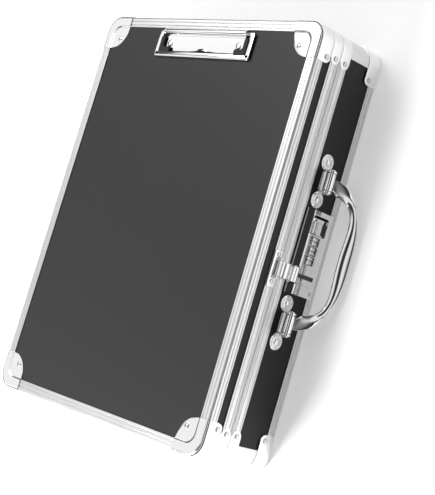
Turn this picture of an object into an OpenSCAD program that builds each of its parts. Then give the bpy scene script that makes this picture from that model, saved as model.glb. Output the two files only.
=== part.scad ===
// Aluminium attache case with a paper clip on the lid.
// The case lies flat on its back: +X is the lock side, -X the hinge side,
// +Y the clip end, +Z up through the lid. The origin is under the middle of the case.

/* [Case] */
// Width over the aluminium edges, hinge side to lock side
case_w = 273; // [240:1:330]
// Length over the aluminium edges
case_l = 349; // [300:1:420]
// Height of the base, from the underside of its caps to the parting line
part_z = 48.7; // [46:0.1:60]
// Height of the lid, from the parting line to the top of its caps
lid_h = 27.3; // [26:0.1:50]
// Radius of the upright corners of the aluminium
corner_r = 15; // [13:0.5:18]

/* [Boards and linings] */
// Thickness of the black boards
board_t = 3; // [2:0.5:4]
// Thickness of the lining
lining_t = 1; // [0.6:0.1:1.5]

/* [Aluminium edges and rims] */
// Thickness of the aluminium sheet
alu_t = 1; // [0.8:0.1:1.4]
// Width of an edge angle on the large faces
edge_face = 9.8; // [8:0.1:14]
// Width of an edge angle on the sides
edge_side = 8.8; // [7:0.1:12]
// Outer radius of an edge angle
edge_r = 2.5; // [1.5:0.1:4]
// Height of each rim extrusion on the sides
rim_h = 9.5; // [8:0.1:12]
// Clearance between the tongue and the lid's boards
tongue_gap = 0.3; // [0.2:0.05:0.6]
// Height of the tongue on the base rim
tongue_h = 2.5; // [1.5:0.1:4]
// Thickness of the tongue
tongue_t = 1.2; // [0.8:0.1:1.5]
// Gap between lid and base at the parting line
part_gap = 0.2; // [0.1:0.05:0.5]

/* [Corner pieces] */
// Thickness of the corner caps
cap_t = 0.8; // [0.6:0.1:1.2]
// Reach of a cap along the edges
cap_reach = 31; // [28:0.5:40]
// Depth of a cap on the sides
cap_skirt = 16; // [14:0.5:17]
// Radius of the cap's lobe on the panel
cap_lobe_r = 20; // [17:0.5:24]
// Distance of the lobe's centre from both edges
cap_lobe_at = 10.5; // [8:0.5:14]
// Distance of the cap's face rivet from both edges
cap_rivet_at = 21.6; // [19:0.1:24]
// Distance of the cap's side rivets from the end
cap_side_at = 26; // [24:0.5:28]
// Depth of the cap's side rivets below the face
cap_side_z = 11.5; // [10.5:0.1:13]
// Thickness of the rim brackets
bracket_t = 0.6; // [0.4:0.1:0.8]
// Height of a rim bracket on each half
bracket_h = 10.8; // [9:0.1:11]
// Distance of the bracket rivets from the end
bracket_at = 24; // [22:0.5:26]
// Radius of the rounded tabs
tab_r = 4.8; // [4:0.1:5.2]
// Straight flange of a corner post beyond its curve
post_flange = 2.5; // [1.5:0.5:4]

/* [Rivets] */
// Radius of a rivet head
rivet_r = 2.4; // [1.8:0.1:3]
// Height of a rivet head
rivet_head = 1; // [0.6:0.1:1.2]
// Radius of a rivet shank
shank_r = 1.4; // [1:0.1:1.6]
// Radial clearance of shanks in their holes
shank_gap = 0.05; // [0.02:0.01:0.1]

/* [Piano hinge] */
// Outer radius of the knuckles
knuckle_r = 2; // [1.8:0.1:2.5]
// Radius of the hinge pin
hinge_pin_r = 0.8; // [0.6:0.1:1]
// Thickness of the hinge leaves
leaf_t = 0.8; // [0.6:0.1:1]
// Height of each leaf on the rims
leaf_h = 8; // [7:0.1:9]
// Length of one knuckle
knuckle_len = 20; // [12:1:20]
// Number of knuckles
knuckle_count = 14; // [8:2:14]
// Gap at the ends of the knuckles
knuckle_gap = 0.15; // [0.1:0.05:0.3]
// Radial clearance of running pins
pin_gap = 0.05; // [0.02:0.01:0.1]

/* [Handle] */
// Distance between the centres of the two handle brackets
handle_span = 115; // [105:1:135]
// Height of the handle pins
handle_z = 30; // [27:0.5:34]
// Distance of the handle pins from the black board
handle_out = 8.5; // [8:0.1:11]
// Reach of the handle from its pins
handle_reach = 33.7; // [28:0.1:36]
// Width of the grip at its ends
grip_w = 7.4; // [6:0.1:9]
// Swell of the grip at its middle
grip_swell = 2.8; // [0:0.1:4]
// Width of the handle's arms at their eyes
arm_w = 13.6; // [11:0.1:14]
// Thickness of the handle
handle_t = 6; // [5:0.25:8]
// Angle of the handle below level at rest
handle_rest = 53; // [0:1:55]
// Radius of the handle pins
handle_pin_r = 1.5; // [1.2:0.1:2]
// Radius of the handle's eyes
eye_r = 4; // [3.5:0.1:4.5]
// Distance of the ears from the bracket's centre
ear_at = 8.3; // [7.5:0.1:10]
// Thickness of the ears
ear_t = 1.8; // [1.2:0.1:2.5]
// Distance of the bracket rivets from its centre
lobe_at = 15.3; // [14:0.1:18]
// Radius of the bracket's lobes
lobe_r = 6.8; // [6:0.1:7.5]
// Thickness of the bracket's plate
bracket_plate = 1.4; // [1:0.1:2]

/* [Lock] */
// Half length of the lock body
lock_half = 34; // [33.5:0.1:34.5]
// Lower edge of the lock body
lock_z0 = 10; // [10:0.1:10.5]
// Upper edge of the lock body
lock_z1 = 38; // [37.5:0.1:38.5]
// Height of the lock body over the board
lock_t = 5.5; // [5.3:0.1:6]
// Radius of the number dials
dial_r = 6.5; // [6:0.1:6.6]
// Distance between the dials
dial_pitch = 7.65; // [7.2:0.05:7.8]
// Position of the middle dial
dial_y = 2.3; // [2:0.1:2.6]
// Thickness of a dial
dial_t = 6.4; // [5.5:0.1:6.6]
// Radius of the dial shaft
dial_shaft_r = 1.25; // [1:0.05:1.5]
// Travel of the slide button
slide_travel = 4; // [2:0.5:4]

/* [Hasp] */
// Position of the hasp's middle
hasp_y = -19; // [-19.5:0.1:-18.5]
// Width of the hasp's flap
flap_w = 12; // [10:0.5:12]
// Height of the hasp's pin over the parting line
hasp_up = 4.3; // [4:0.1:5]
// Radius of the hasp's knuckles
hasp_r = 1.5; // [1.3:0.1:1.8]
// Radius of the hasp's pin
hasp_pin_r = 0.7; // [0.5:0.1:0.8]

/* [Clip] */
// Width of the clip's base plate
clip_w = 99; // [80:1:110]
// Width of the jaw
jaw_w = 121; // [105:1:130]
// Distance of the clip's pin from the end of the case
clip_back = 13.5; // [13:0.5:18]
// Offset of the clip from the middle, towards the lock
clip_x = 2.3; // [-5:0.1:5]
// Distance of the jaw's bar from the pin
jaw_reach = 21.5; // [20:0.5:26]
// Outer radius of the clip's roll
roll_r = 2.8; // [2.5:0.1:3.2]
// Radius of the clip's pin
clip_pin_r = 1; // [0.8:0.1:1.2]
// Distance between the clip's two rivets
clip_rivets_apart = 88; // [70:1:92]

/* [Hidden] */
$fn = 48;
eps = 0.01;
far = 1000;
case_h = part_z + lid_h;
hw = case_w / 2;
hl = case_l / 2;
side_t = alu_t + board_t;
board_x = hw - alu_t;
board_y = hl - alu_t;
wall_in_x = board_x - board_t;
wall_in_y = board_y - board_t;
edge_z0 = cap_t;
edge_z1 = case_h - cap_t;
panel_z0 = edge_z0 + alu_t;
panel_z1 = edge_z1 - alu_t;
floor_z = panel_z0 + board_t;
roof_z = panel_z1 - board_t;
shelf_t = 1.5;
shelf_z = part_z - shelf_t;
lid_z = part_z + part_gap;
lid_shelf_z = lid_z + shelf_t;
straight_x = hw - corner_r;
straight_y = hl - corner_r;
rim_depth = side_t + tongue_gap + tongue_t;
hinge_x = -(hw + knuckle_r + knuckle_gap);
hinge_half = knuckle_len * knuckle_count / 2;
leaf_gap = 0.7;
small_rivet_r = 2;
small_rivet_head = 0.7;
pin_x = board_x + handle_out;
bracket_y = handle_span / 2;
eye_gap = 0.3;
eye_len = 2 * ear_at - ear_t - 2 * eye_gap;
boss_rivet_r = 3.2;
boss_rivet_head = 1.4;
lock_x = board_x + lock_t;
lock_cav_z0 = lock_z0 + 4;
lock_cav_z1 = lock_z1 - 2.5;
lock_cav_y0 = -lock_half + 3;
lock_cav_y1 = lock_half - 1;
lock_plate = 1.5;
lock_lip = 1.2;
lock_back_t = 0.8;
lock_back_x = wall_in_x - 5;
lock_screw_r = 0.8;
lock_screw_y = 20;
lock_screw_z = lock_z0 + 2;
lock_facet_x = 2.5;
lock_facet_z = 5;
lock_ledge_z = lock_z1 - lock_facet_z - 0.5;
dial_x = lock_x + 1.1 - dial_r;
dial_z = 24.5;
dial_window_z = 5.2;
dial_side_gap = 0.25;
rib_t = 0.8;
rib_at = 1.5 * dial_pitch + rib_t;
button_y0 = 15;
button_y1 = 30;
button_z0 = 15.2;
button_z1 = 32;
button_gap = 0.3;
button_up = 0.8;
slider_y0 = dial_y + rib_at + rib_t / 2 + 0.2;
slider_y1 = lock_cav_y1 - slide_travel - 0.4;
slider_t = 1.5;
slider_lap = 1;
spring_z = 32.9;
slider_gap = 0.1;
bolt_t = 1.6;
bolt_z0 = 32.6;
bolt_z1 = 34.8;
notch_y0 = hasp_y - 7;
notch_y1 = hasp_y + 7;
notch_z = 31.5;
channel_x = lock_x - 2.3;
slot_y0 = -20.5;
slot_y1 = -17;
slot_deep = 1.2;
cover_t = 1.4;
cover_y1 = -25.2;
cover_gap = 0.2;
cover_screw_y = -30;
cover_screw_z = 13;
hasp_x = hw + leaf_t + 0.2 + hasp_r;
hasp_z = part_z + hasp_up;
hasp_lug_t = 2.2;
hasp_lug_gap = 0.3;
hasp_pin_half = flap_w / 2 + hasp_lug_gap + hasp_lug_t;
flap_x0 = hasp_x + 0.3;
flap_t = 1;
flap_z0 = notch_z + 0.8;
staple_w = 8;
staple_h = 3;
clip_t = 1;
clip_y = hl - clip_back;
clip_z = panel_z1 + roll_r + 0.1;
clip_lug_t = 1.6;
clip_lug_x = jaw_w / 2 - 9.7;
jaw_bar_y = clip_y - jaw_reach;
jaw_bar_r = 1.4;
jaw_z0 = panel_z1 + 1.6;
jaw_arm_w = 5;
jaw_lip_w = 3.2;
grip_side = 14;
grip_inner = 4.5;
clip_rivet_r = 3.6;
clip_rivet_head = 1.6;

// ---------- shared helpers ----------

// A box between two corners
module block(a, b) {
    translate(a) cube([b[0] - a[0], b[1] - a[1], b[2] - a[2]]);
}

// A cylinder along X, Y or Z from its starting centre
module rod_x(p, r, len) { translate(p) rotate([0, 90, 0]) cylinder(r = r, h = len); }
module rod_y(p, r, len) { translate(p) rotate([-90, 0, 0]) cylinder(r = r, h = len); }
module rod_z(p, r, len) { translate(p) cylinder(r = r, h = len); }

// A rectangle with round corners, centred
module round_rect(x, y, r) {
    square([2 * x, 2 * y - 2 * r], center = true);
    square([2 * x - 2 * r, 2 * y], center = true);
    for (sx = [-1, 1], sy = [-1, 1]) translate([sx * (x - r), sy * (y - r)]) circle(r);
}

// Turns what is drawn for the lid face, z measured down from the top, the right way up
module from_top() { translate([0, 0, case_h]) mirror([0, 0, 1]) children(); }

// Repeats at the four corners, drawn for the corner at +X +Y
module four_corners() {
    for (sx = [0, 1], sy = [0, 1]) mirror([sx, 0, 0]) mirror([0, sy, 0]) children();
}

// Repeats at the two ends, drawn for the end at +Y
module both_ends() {
    for (sy = [0, 1]) mirror([0, sy, 0]) children();
}

// Domed head on a round base, its underside at z = 0
module dome(r, h) {
    ball = (r * r + h * h) / (2 * h);
    intersection() {
        translate([0, 0, h - ball]) sphere(ball);
        cylinder(r = r, h = h);
    }
}

// Rivet along -Z: head above z = 0, shank below it
module rivet(r, h, shank) {
    dome(r, h);
    translate([0, 0, -shank]) cylinder(r = shank_r, h = shank + eps);
}

// A rivet at p whose head looks along +X or +Y
module rivet_to_x(p, r, h, shank) { translate(p) rotate([0, 90, 0]) rivet(r, h, shank); }
module rivet_to_y(p, r, h, shank) { translate(p) rotate([-90, 0, 0]) rivet(r, h, shank); }

// Clearance holes for the rivets of one corner cap: on the face and on both sides
module cap_holes(r) {
    rod_z([hw - cap_rivet_at, hl - cap_rivet_at, -eps], r, 3 * board_t);
    rod_x([hw - 2 * board_t, hl - cap_side_at, cap_side_z], r, 4 * board_t);
    rod_y([hw - cap_side_at, hl - 2 * board_t, cap_side_z], r, 4 * board_t);
}

// Clearance holes for the two rivets of one rim bracket at height z
module bracket_holes(r, z) {
    rod_x([hw - 2 * board_t, hl - bracket_at, z], r, 4 * board_t);
    rod_y([hw - bracket_at, hl - 2 * board_t, z], r, 4 * board_t);
}

base_bracket_z = part_z - part_gap - tab_r - 1;
lid_bracket_z = lid_z + tab_r + 0.4;

// Every hole that the base's and the lid's corner rivets pass through
module base_corner_holes() {
    four_corners() cap_holes(shank_r + shank_gap);
    four_corners() bracket_holes(shank_r + shank_gap, base_bracket_z);
}
module lid_corner_holes() {
    from_top() four_corners() cap_holes(shank_r + shank_gap);
    four_corners() bracket_holes(shank_r + shank_gap, lid_bracket_z);
}

// ---------- boards ----------

// Large panel with round corners between two heights
module panel(z0, z1) {
    translate([0, 0, z0]) linear_extrude(z1 - z0) round_rect(board_x, board_y, corner_r - alu_t);
}

// One side board at +X and the pair of end boards, between two heights
module side_board(z0, z1) {
    block([wall_in_x, -straight_y, z0], [board_x, straight_y, z1]);
}
module end_boards(z0, z1) {
    both_ends() block([-straight_x, wall_in_y, z0], [straight_x, board_y, z1]);
}

// Space that the lock takes out of the lock-side board
module lock_space() {
    block([wall_in_x - 1, lock_cav_y0, lock_cav_z0], [board_x + 1, lock_cav_y1, lock_cav_z1]);
    lock_screw_holes();
}

module base_panel() {
    color([0.1, 0.1, 0.1]) difference() {
        panel(panel_z0, floor_z);
        base_corner_holes();
    }
}
module base_wall_lock() {
    color([0.07, 0.07, 0.07]) difference() {
        side_board(floor_z, shelf_z);
        base_corner_holes();
        lock_space();
        handle_bracket_holes();
    }
}
module base_wall_hinge() {
    color([0.07, 0.07, 0.07]) difference() {
        mirror([1, 0, 0]) side_board(floor_z, shelf_z);
        base_corner_holes();
    }
}
module base_wall_ends() {
    color([0.07, 0.07, 0.07]) difference() {
        end_boards(floor_z, shelf_z);
        base_corner_holes();
    }
}
module lid_panel() {
    color([0.16, 0.16, 0.16]) difference() {
        panel(roof_z, panel_z1);
        lid_corner_holes();
        clip_rivet_holes();
    }
}
module lid_wall_lock() {
    color([0.07, 0.07, 0.07]) difference() {
        side_board(lid_shelf_z, roof_z);
        lid_corner_holes();
        hasp_holes();
    }
}
module lid_wall_hinge() {
    color([0.07, 0.07, 0.07]) difference() {
        mirror([1, 0, 0]) side_board(lid_shelf_z, roof_z);
        lid_corner_holes();
    }
}
module lid_wall_ends() {
    color([0.07, 0.07, 0.07]) difference() {
        end_boards(lid_shelf_z, roof_z);
        lid_corner_holes();
    }
}

// ---------- aluminium edge angles ----------

// Section of an edge angle, its outer corner at the origin
module edge_section() {
    difference() {
        union() {
            translate([edge_r, 0]) square([edge_face - edge_r, edge_side]);
            translate([0, edge_r]) square([edge_face, edge_side - edge_r]);
            translate([edge_r, edge_r]) circle(edge_r);
        }
        translate([alu_t, alu_t]) square([edge_face, edge_side]);
    }
}

// Edge angle along the lock side, and along the ends
module side_edge() {
    translate([hw, straight_y, edge_z0]) rotate([90, 0, 0]) mirror([1, 0, 0])
        linear_extrude(2 * straight_y) edge_section();
}
module end_edge() {
    translate([-straight_x, hl, edge_z0]) rotate([90, 0, 90]) mirror([1, 0, 0])
        linear_extrude(2 * straight_x) edge_section();
}

module base_edge_lock() { color([0.82, 0.83, 0.84]) side_edge(); }
module base_edge_hinge() { color([0.82, 0.83, 0.84]) mirror([1, 0, 0]) side_edge(); }
module base_edge_ends() { color([0.82, 0.83, 0.84]) both_ends() end_edge(); }
module lid_edge_lock() { color([0.82, 0.83, 0.84]) from_top() side_edge(); }
module lid_edge_hinge() { color([0.82, 0.83, 0.84]) from_top() mirror([1, 0, 0]) side_edge(); }
module lid_edge_ends() { color([0.82, 0.83, 0.84]) from_top() both_ends() end_edge(); }

// ---------- rims ----------

// Section of the base rim: x runs inwards from the outside, y is the height
module base_rim_section() {
    translate([0, part_z - rim_h]) square([alu_t, rim_h]);
    translate([0, shelf_z]) square([rim_depth, part_z - shelf_z]);
    translate([rim_depth - tongue_t, shelf_z]) square([tongue_t, part_z - shelf_z + tongue_h]);
}

// Section of the lid rim, which drops over the tongue
module lid_rim_section() {
    translate([0, lid_z]) square([alu_t, rim_h]);
    translate([0, lid_z]) square([side_t, lid_shelf_z - lid_z]);
}

module side_rim() {
    translate([hw, straight_y, 0]) rotate([90, 0, 0]) mirror([1, 0, 0])
        linear_extrude(2 * straight_y) children();
}
module end_rim() {
    translate([-straight_x, hl, 0]) rotate([90, 0, 90]) mirror([1, 0, 0])
        linear_extrude(2 * straight_x) children();
}

module base_rim_lock() {
    color([0.82, 0.83, 0.84]) difference() {
        side_rim() base_rim_section();
        base_corner_holes();
    }
}
module base_rim_hinge() {
    color([0.82, 0.83, 0.84]) difference() {
        mirror([1, 0, 0]) side_rim() base_rim_section();
        base_corner_holes();
        hinge_holes();
    }
}
module base_rim_ends() {
    color([0.82, 0.83, 0.84]) difference() {
        both_ends() end_rim() base_rim_section();
        base_corner_holes();
    }
}
module lid_rim_lock() {
    color([0.82, 0.83, 0.84]) difference() {
        side_rim() lid_rim_section();
        lid_corner_holes();
        hasp_holes();
    }
}
module lid_rim_hinge() {
    color([0.82, 0.83, 0.84]) difference() {
        mirror([1, 0, 0]) side_rim() lid_rim_section();
        lid_corner_holes();
        hinge_holes();
    }
}
module lid_rim_ends() {
    color([0.82, 0.83, 0.84]) difference() {
        both_ends() end_rim() lid_rim_section();
        lid_corner_holes();
    }
}

// ---------- corner posts, caps and brackets ----------

// Upright corner profile at +X +Y: a quarter ring that the boards butt against
module post(z0, z1) {
    translate([straight_x, straight_y, z0]) difference() {
        cylinder(r = corner_r, h = z1 - z0);
        translate([0, 0, -eps]) cylinder(r = corner_r - side_t, h = z1 - z0 + 2 * eps);
        translate([-far, -far, -eps]) cube([far, 2 * far, z1 - z0 + 2 * eps]);
        translate([-far, -far, -eps]) cube([2 * far, far, z1 - z0 + 2 * eps]);
    }
}

// The post's flanges lie over the boards between the edge angle and the rim
module post_flanges(z0, z1) {
    block([board_x, straight_y - post_flange, z0], [hw, straight_y + eps, z1]);
    block([straight_x - post_flange, board_y, z0], [straight_x + eps, hl, z1]);
}

module base_corner_posts() {
    color([0.78, 0.79, 0.8]) four_corners() {
        post(floor_z, part_z);
        post_flanges(edge_z0 + edge_side, part_z - rim_h);
    }
}
module lid_corner_posts() {
    color([0.78, 0.79, 0.8]) four_corners() {
        post(lid_z, roof_z);
        post_flanges(lid_z + rim_h, edge_z1 - edge_side);
    }
}

// Outline of a case corner in plan at +X +Y, grown outwards by g
module corner_plan(g) {
    translate([-far, -far]) square([far + straight_x, far + hl + g]);
    translate([-far, -far]) square([far + hw + g, far + straight_y]);
    translate([straight_x, straight_y]) circle(corner_r + g);
}

// Plan of the part of a cap that covers the aluminium and the lobe on the panel
module cap_plan() {
    intersection() {
        corner_plan(0);
        translate([hw - cap_reach, hl - cap_reach]) square(far);
        union() {
            translate([hw - edge_face, 0]) square(far);
            translate([0, hl - edge_face]) square(far);
            translate([hw - cap_lobe_at, hl - cap_lobe_at]) circle(cap_lobe_r);
        }
    }
}
// Plan of the panel that shows inside the cap's raised part, shrunk by g
module cap_window(g) {
    x = hw - edge_face - g;
    y = hl - edge_face - g;
    translate([-x, -y]) intersection() {
        square([2 * x, 2 * y]);
        translate([x, y]) round_rect(x, y, 10 - g);
    }
}

// Side skirt of a cap or bracket: a sheet that wraps the corner and ends in two round tabs
module wrap(t, z0, z1, tab_u, tab_z, straight_z) {
    translate([0, 0, z0]) linear_extrude(z1 - z0) difference() {
        corner_plan(t);
        corner_plan(0);
        translate([-far, -far]) square([far + hw - tab_u, 2 * far]);
        translate([-far, -far]) square([2 * far, far + hl - tab_u]);
    }
    rod_x([hw, hl - tab_u, tab_z], tab_r, t);
    rod_y([hw - tab_u, hl, tab_z], tab_r, t);
    if (straight_z > z0) {
        block([hw, hl - cap_reach, z0], [hw + t, hl - tab_u + eps, straight_z]);
        block([hw - cap_reach, hl, z0], [hw - tab_u + eps, hl + t, straight_z]);
    }
}

// Corner cap at +X +Y with its outer face at z = 0
module cap() {
    difference() {
        union() {
            linear_extrude(cap_t) difference() {
                cap_plan();
                cap_window(0);
            }
            translate([0, 0, panel_z0 - cap_t]) linear_extrude(cap_t) intersection() {
                cap_plan();
                cap_window(0);
            }
            linear_extrude(panel_z0) intersection() {
                cap_plan();
                difference() {
                    cap_window(0);
                    cap_window(cap_t);
                }
            }
            wrap(cap_t, 0, cap_skirt, cap_side_at, cap_side_z, edge_side + cap_t);
        }
        cap_holes(shank_r + shank_gap);
    }
}

module base_corner_caps() { color([0.9, 0.9, 0.91]) four_corners() cap(); }
module lid_corner_caps() { color([0.9, 0.9, 0.91]) from_top() four_corners() cap(); }

module rim_bracket(z0, z1, rivet_z) {
    difference() {
        wrap(bracket_t, z0, z1, bracket_at, rivet_z, 0);
        bracket_holes(shank_r + shank_gap, rivet_z);
    }
}
module base_rim_brackets() {
    z1 = part_z - part_gap;
    color([0.85, 0.85, 0.86]) four_corners() rim_bracket(z1 - bracket_h, z1, base_bracket_z);
}
module lid_rim_brackets() {
    color([0.85, 0.85, 0.86]) four_corners() rim_bracket(lid_z, lid_z + bracket_h, lid_bracket_z);
}

// Rivets of one corner, drawn for the face at z = 0 and the corner at +X +Y
module corner_rivets(bracket_z) {
    translate([hw - cap_rivet_at, hl - cap_rivet_at, panel_z0 - cap_t]) rotate([180, 0, 0])
        rivet(rivet_r, rivet_head, board_t + cap_t);
    rivet_to_x([hw + cap_t, hl - cap_side_at, cap_side_z], rivet_r, rivet_head, side_t + cap_t);
    rivet_to_y([hw - cap_side_at, hl + cap_t, cap_side_z], rivet_r, rivet_head, side_t + cap_t);
    rivet_to_x([hw + bracket_t, hl - bracket_at, bracket_z], rivet_r, rivet_head, side_t + bracket_t);
    rivet_to_y([hw - bracket_at, hl + bracket_t, bracket_z], rivet_r, rivet_head, side_t + bracket_t);
}
module base_rivets() {
    color([0.75, 0.75, 0.77]) four_corners() corner_rivets(base_bracket_z);
}
module lid_rivets() {
    color([0.75, 0.75, 0.77]) from_top() four_corners() corner_rivets(case_h - lid_bracket_z);
}

// ---------- linings ----------

// Tray that lines a half: its floor at z0, its walls up to z1
module lining(z0, z1) {
    r = corner_r - side_t;
    difference() {
        translate([0, 0, z0]) linear_extrude(z1 - z0) round_rect(wall_in_x, wall_in_y, r);
        translate([0, 0, z0 + lining_t]) linear_extrude(z1 - z0)
            round_rect(wall_in_x - lining_t, wall_in_y - lining_t, r - lining_t);
    }
}
module base_lining() {
    color([0.13, 0.13, 0.13]) difference() {
        lining(floor_z, shelf_z - 0.5);
        block([lock_back_x - 2, lock_cav_y0 - 1.5, lock_z0 - 0.3],
              [board_x, lock_cav_y1 + 1.5, lock_cav_z1 + 1.5]);
    }
}
module lid_lining() {
    color([0.13, 0.13, 0.13]) translate([0, 0, roof_z]) mirror([0, 0, 1])
        lining(0, roof_z - part_z - tongue_h - 1);
}

// ---------- piano hinge ----------

// Knuckle tubes for one leaf; first is 0 for the base and 1 for the lid
module knuckles(first, r, gap) {
    for (i = [first : 2 : knuckle_count - 1])
        rod_y([hinge_x, -hinge_half + i * knuckle_len + gap, part_z], r, knuckle_len - 2 * gap);
}

// One leaf of the hinge drawn on the hinge side, with room for the other leaf's knuckles
module leaf(z0, z1, first) {
    other = 1 - first;
    difference() {
        union() {
            block([-hw - leaf_t, -hinge_half, z0], [-hw, hinge_half, z1]);
            knuckles(first, knuckle_r, knuckle_gap);
        }
        for (i = [other : 2 : knuckle_count - 1])
            rod_y([hinge_x, -hinge_half + i * knuckle_len - knuckle_gap, part_z],
                  knuckle_r + 0.2, knuckle_len + 2 * knuckle_gap);
        rod_y([hinge_x, -hinge_half - 1, part_z], hinge_pin_r + pin_gap, 2 * hinge_half + 2);
        hinge_holes();
    }
}
hinge_rivet_step = 2 * knuckle_len;
hinge_rivet_count = floor(knuckle_count / 2);
function hinge_rivet_y(i) = (i - (hinge_rivet_count - 1) / 2) * hinge_rivet_step;
hinge_rivet_z = 5.4;

module hinge_holes() {
    for (i = [0 : hinge_rivet_count - 1], s = [-1, 1])
        rod_x([-hw - 2, hinge_rivet_y(i), part_z + s * hinge_rivet_z],
              shank_r + shank_gap, alu_t + 2.5);
}
module hinge_rivets(s) {
    for (i = [0 : hinge_rivet_count - 1])
        translate([-hw - leaf_t, hinge_rivet_y(i), part_z + s * hinge_rivet_z])
            rotate([0, -90, 0]) rivet(small_rivet_r, small_rivet_head, leaf_t + alu_t);
}
module hinge_leaf_base() {
    color([0.8, 0.8, 0.82]) leaf(part_z - leaf_h, part_z - leaf_gap, 0);
}
module hinge_leaf_lid() {
    color([0.8, 0.8, 0.82]) leaf(part_z + leaf_gap, part_z + leaf_h, 1);
}
module hinge_pin() {
    color([0.7, 0.7, 0.72]) rod_y([hinge_x, -hinge_half, part_z], hinge_pin_r, 2 * hinge_half);
}
module hinge_rivets_base() { color([0.75, 0.75, 0.77]) hinge_rivets(-1); }
module hinge_rivets_lid() { color([0.75, 0.75, 0.77]) hinge_rivets(1); }

// ---------- handle ----------

module handle_bracket_holes() {
    for (sy = [-1, 1], s = [-1, 1])
        rod_x([wall_in_x - 1, sy * bracket_y + s * lobe_at, handle_z],
              shank_r + shank_gap, board_t + bracket_plate + 2);
}
// One bracket centred at y
module handle_bracket(y) {
    plate_x = board_x + bracket_plate;
    for (s = [-1, 1]) {
        rod_x([board_x, y + s * lobe_at, handle_z], lobe_r, bracket_plate);
        ear_y = y + s * ear_at - ear_t / 2;
        block([board_x, ear_y, handle_z - eye_r], [pin_x, ear_y + ear_t, handle_z + eye_r]);
        rod_y([pin_x, ear_y, handle_z], eye_r, ear_t);
    }
    block([board_x, y - lobe_at, handle_z - eye_r - 1], [plate_x, y + lobe_at, handle_z + eye_r + 1]);
}
module handle_brackets() {
    color([0.85, 0.85, 0.86]) difference() {
        for (s = [-1, 1]) handle_bracket(s * bracket_y);
        handle_bracket_holes();
        for (s = [-1, 1])
            rod_y([pin_x, s * bracket_y - 2 * ear_at, handle_z], handle_pin_r + pin_gap, 4 * ear_at);
    }
}
module handle_bracket_rivets() {
    color([0.75, 0.75, 0.77]) for (sy = [-1, 1], s = [-1, 1])
        rivet_to_x([board_x + bracket_plate, sy * bracket_y + s * lobe_at, handle_z],
                   boss_rivet_r, boss_rivet_head, bracket_plate + board_t);
}
module handle_pins() {
    half = ear_at + ear_t / 2;
    color([0.8, 0.8, 0.82]) for (s = [-1, 1]) {
        rod_y([pin_x, s * bracket_y - half - 1, handle_z], handle_pin_r, 2 * half + 2);
        for (e = [-1, 1])
            rod_y([pin_x, s * bracket_y + e * (half + 0.6) - 0.5, handle_z], handle_pin_r + 1.2, 1);
    }
}

// Point at angle a on a rounded D: half width w, reach h, squareness n
function d_point(a, w, h, n) = [
    w * sign(cos(a)) * pow(abs(cos(a)), 2 / n),
    h * pow(abs(sin(a)), 2 / n)
];
d_steps = 40;
d_out_w = bracket_y + arm_w / 4;
d_out_square = 2.4;
d_in_w = d_out_w - arm_w;
d_in_h = handle_reach - grip_w;
d_in_square = 3.8;

// The handle's outline: x along the case, y the reach from the pins
module handle_outline() {
    outer = [for (i = [0 : d_steps]) d_point(180 * i / d_steps, d_out_w, handle_reach, d_out_square)];
    inner = [for (i = [d_steps : -1 : 0])
        let (p = d_point(180 * i / d_steps, d_in_w, d_in_h, d_in_square))
        [p[0], p[1] - grip_swell * pow(cos(90 * p[0] / d_in_w), 2) * p[1] / d_in_h]];
    shoulder = eye_r + 0.8;
    between = bracket_y - eye_len / 2;
    difference() {
        polygon(concat(outer, inner));
        // room for the inner ears, up to the arms' shoulders
        translate([-between, -far]) square([2 * between, far + shoulder]);
    }
}
module handle() {
    color([0.88, 0.88, 0.9]) translate([pin_x, 0, handle_z]) rotate([0, handle_rest, 0])
    difference() {
        union() {
            multmatrix([[0, 1, 0, 0], [1, 0, 0, 0], [0, 0, -1, handle_t / 2], [0, 0, 0, 1]])
                linear_extrude(handle_t) handle_outline();
            for (s = [-1, 1]) rod_y([0, s * bracket_y - eye_len / 2, 0], eye_r, eye_len);
        }
        for (s = [-1, 1])
            rod_y([0, s * bracket_y - eye_len, 0], handle_pin_r + pin_gap, 2 * eye_len);
    }
}

// ---------- lock ----------

// Section of the lock body: x outwards, y up, with a sloping facet towards the rim
module lock_section() {
    polygon([[board_x, lock_z0], [lock_x - 0.8, lock_z0], [lock_x, lock_z0 + 1.2],
             [lock_x, lock_z1 - lock_facet_z], [lock_x - lock_facet_x, lock_z1], [board_x, lock_z1]]);
}
function dial_at(i) = dial_y + (1 - i) * dial_pitch;

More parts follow.
